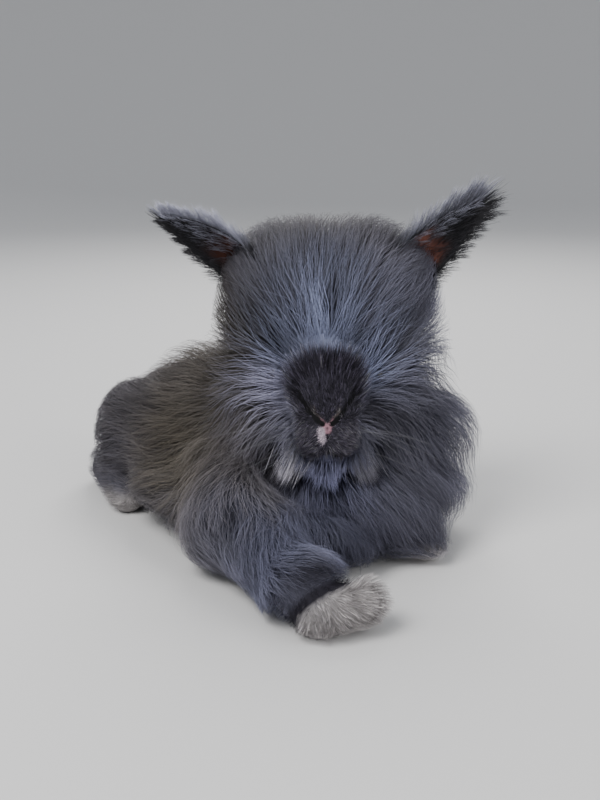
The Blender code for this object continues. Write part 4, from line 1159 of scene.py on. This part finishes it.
def ear_strands(side, count):
    """Short hair on the back of an ear, longer from its lower edge, and longest from its upper edge and tip.

    An angle of -1 is the upper edge of either ear.
    """
    _, axis, _, across = ear_frame(side)
    pieces = []
    for part, share_range, angle_range, length_range, lift, within in EAR_HAIR:
        many = int(count * part)
        shares = chance.uniform(*share_range, many)
        from_top = chance.uniform(*angle_range, many)
        angles = from_top * side
        depth = EAR_WALL * 0.7 if within else 0.5 * MM
        start, outward = ear_points(side, shares, angles, np.full(many, depth))
        lengths = chance.uniform(*length_range, many) * MM
        lengths *= 1 + (EAR_TIP_HAIR[side] - 1) * smooth(0.5, 0.9, shares)
        rising = outward * (lift * chance.uniform(0.2, 1, many) * (-1 if within else 1))[:, None]
        lean = angles * 0.4 + chance.normal(0, 0.2, many)
        way = unit(axis + across * lean[:, None] + rising)
        droop = np.array((0, 0, -1.0)) * chance.uniform(0.05, 0.4, many)[:, None]
        climb = np.linspace(0, 1, STEPS + 1)[:, None, None]
        paths = start + (way * climb + droop * climb**2.2 * 0.6) * lengths[:, None]
        tints = np.tile(EAR_DARK, (many, 1)) * chance.uniform(0.5, 2.0, many)[:, None]
        # grey-blue on the upper edge, partly a painted highlight where the edge catches the light
        streaky = EAR_STREAKS[side] * smooth(EAR_GREY_TO[side], -0.3, from_top) * smooth(0.25, 0.5, shares)
        tints = mix(tints, EAR_GREY_HIGHLIGHT, streaky * chance.uniform(0.2, 1.2, many))
        ups = np.tile(outward, (STEPS + 1, 1, 1))
        radius = STRAND_RADIUS * chance.uniform(0.5, 0.85, many)
        patches = np.column_stack([0.5 + 0.48 * angles, 0.02 + 0.95 * shares])
        paths, _ = clump(paths, EAR_WISP, chance.uniform(0.3, 0.8, many))
        pieces.append((paths, ups, radius, tints, patches))
    return [np.concatenate(parts, axis=1 if parts[0].ndim == 3 else 0) for parts in zip(*pieces)]


IRIS = rgb(0.03, 0.014, 0.008)
PUPIL = rgb(0.002, 0.002, 0.002)


def make_eye(name, side):
    """An eyeball with its iris and pupil, turned the way the eye looks."""
    shape = bmesh.new()
    bmesh.ops.create_uvsphere(shape, u_segments=48, v_segments=32, radius=EYE_RADIUS)
    mesh = bpy.data.meshes.new(name)
    shape.to_mesh(mesh)
    shape.free()
    points = points_of(mesh)
    forward = points[:, 2] / EYE_RADIUS
    tint = mix(np.tile(IRIS, (len(points), 1)), PUPIL, smooth(0.86, 0.9, forward))
    points = points @ eye_basis(side).T + EYES[side]
    mesh.vertices.foreach_set("co", points.ravel())
    finish_mesh(mesh, tint)
    return mesh


# The stage

FLOOR_FLAT = 1.4  # metres out to where the floor begins to rise
FLOOR_BEND = 1.2
FLOOR_RISE = 60  # degrees
FLOOR_SIDES = 96
LIGHTS = (  # name, place from the middle of the rabbit, size and power
    ("key", (-0.5, -0.5, 0.9), 0.6, 14),
    ("fill", (0.8, -0.5, 0.4), 0.8, 5),
    ("back", (0.1, 0.8, 0.8), 0.6, 9),
)
LIT_MIDDLE = Vector((-30, 50, 60)) * MM
CAMERA_PLACE = Vector((-12.2, -475, 206)) * MM
CAMERA_TILT = 75
CAMERA_VIEW = 40  # degrees over the longer side of the picture


def make_floor():
    """A pale floor, flat round the rabbit and softly rising far from it."""
    bends = np.radians(np.linspace(0, FLOOR_RISE, 25))
    reaches = np.append(0.2, FLOOR_FLAT + FLOOR_BEND * np.sin(bends))
    heights = np.append(0, FLOOR_BEND * (1 - np.cos(bends)))[:, None]
    turns = np.linspace(0, 2 * math.pi, FLOOR_SIDES, endpoint=False)
    across, along = np.outer(reaches, np.cos(turns)), np.outer(reaches, np.sin(turns))
    points = np.stack([across, along, np.broadcast_to(heights, across.shape)], axis=-1).reshape(-1, 3)
    spots = np.arange(len(points)).reshape(-1, FLOOR_SIDES)
    faces = [spots[0].tolist(), *grid_faces(np.append(spots, spots[:, :1], axis=1))]
    mesh = bpy.data.meshes.new("floor")
    mesh.from_pydata(points.tolist(), [], faces)
    mesh.polygons.foreach_set("use_smooth", np.ones(len(mesh.polygons), bool))
    material = bpy.data.materials.new("floor")
    material.use_nodes = True
    shader = material.node_tree.nodes["Principled BSDF"]
    fill(shader, {"Base Color": (0.62, 0.61, 0.60, 1), "Roughness": 0.8})
    mesh.materials.append(material)
    add_object("floor", mesh)


def make_light():
    """A pale room and three soft lights."""
    world = bpy.data.worlds.new("studio")
    world.use_nodes = True
    fill(world.node_tree.nodes["Background"], {"Color": (0.75, 0.79, 0.86, 1), "Strength": 0.55})
    bpy.context.scene.world = world
    middle = Vector(SHIFT) + LIT_MIDDLE
    for name, offset, size, power in LIGHTS:
        light = bpy.data.lights.new(name, "AREA")
        light.size = size
        light.energy = power
        lamp = add_object(name, light)
        lamp.location = middle + Vector(offset)
        lamp.rotation_euler = (middle - lamp.location).to_track_quat("-Z", "Y").to_euler()


def make_camera():
    """A camera where the photograph was taken."""
    camera = add_object("camera", bpy.data.cameras.new("camera"))
    camera.data.sensor_width = 36
    camera.data.lens = 18 / math.tan(math.radians(CAMERA_VIEW / 2))
    camera.data.clip_start = 0.01
    camera.location = Vector(SHIFT) + CAMERA_PLACE
    camera.rotation_euler = (math.radians(CAMERA_TILT), 0, 0)
    bpy.context.scene.camera = camera


skin = make_skin()
grow(skin)
# the skin gets the coat's markings, painted darker as the shade under the coat
finish_mesh(skin, marking(points_of(skin)) * SKIN_PAINTED_SHADE)
add_piece("skin", skin, SKIN_MATERIAL, list(CORES))
for side, label in SIDE_NAMES.items():
    grow_beard(side)
    grow_whiskers(side)
    add_piece(f"ear_skin_{label}", make_ear(side), SKIN_MATERIAL, [f"ear_{label}"])
    add_coat(f"ear_{label}", *ear_strands(side, EAR_STRANDS))
    name = f"eyeball_{label}"
    add_piece(name, make_eye(name, side), EYE_MATERIAL, [f"eye_{label}"])
make_floor()
make_light()
make_camera()
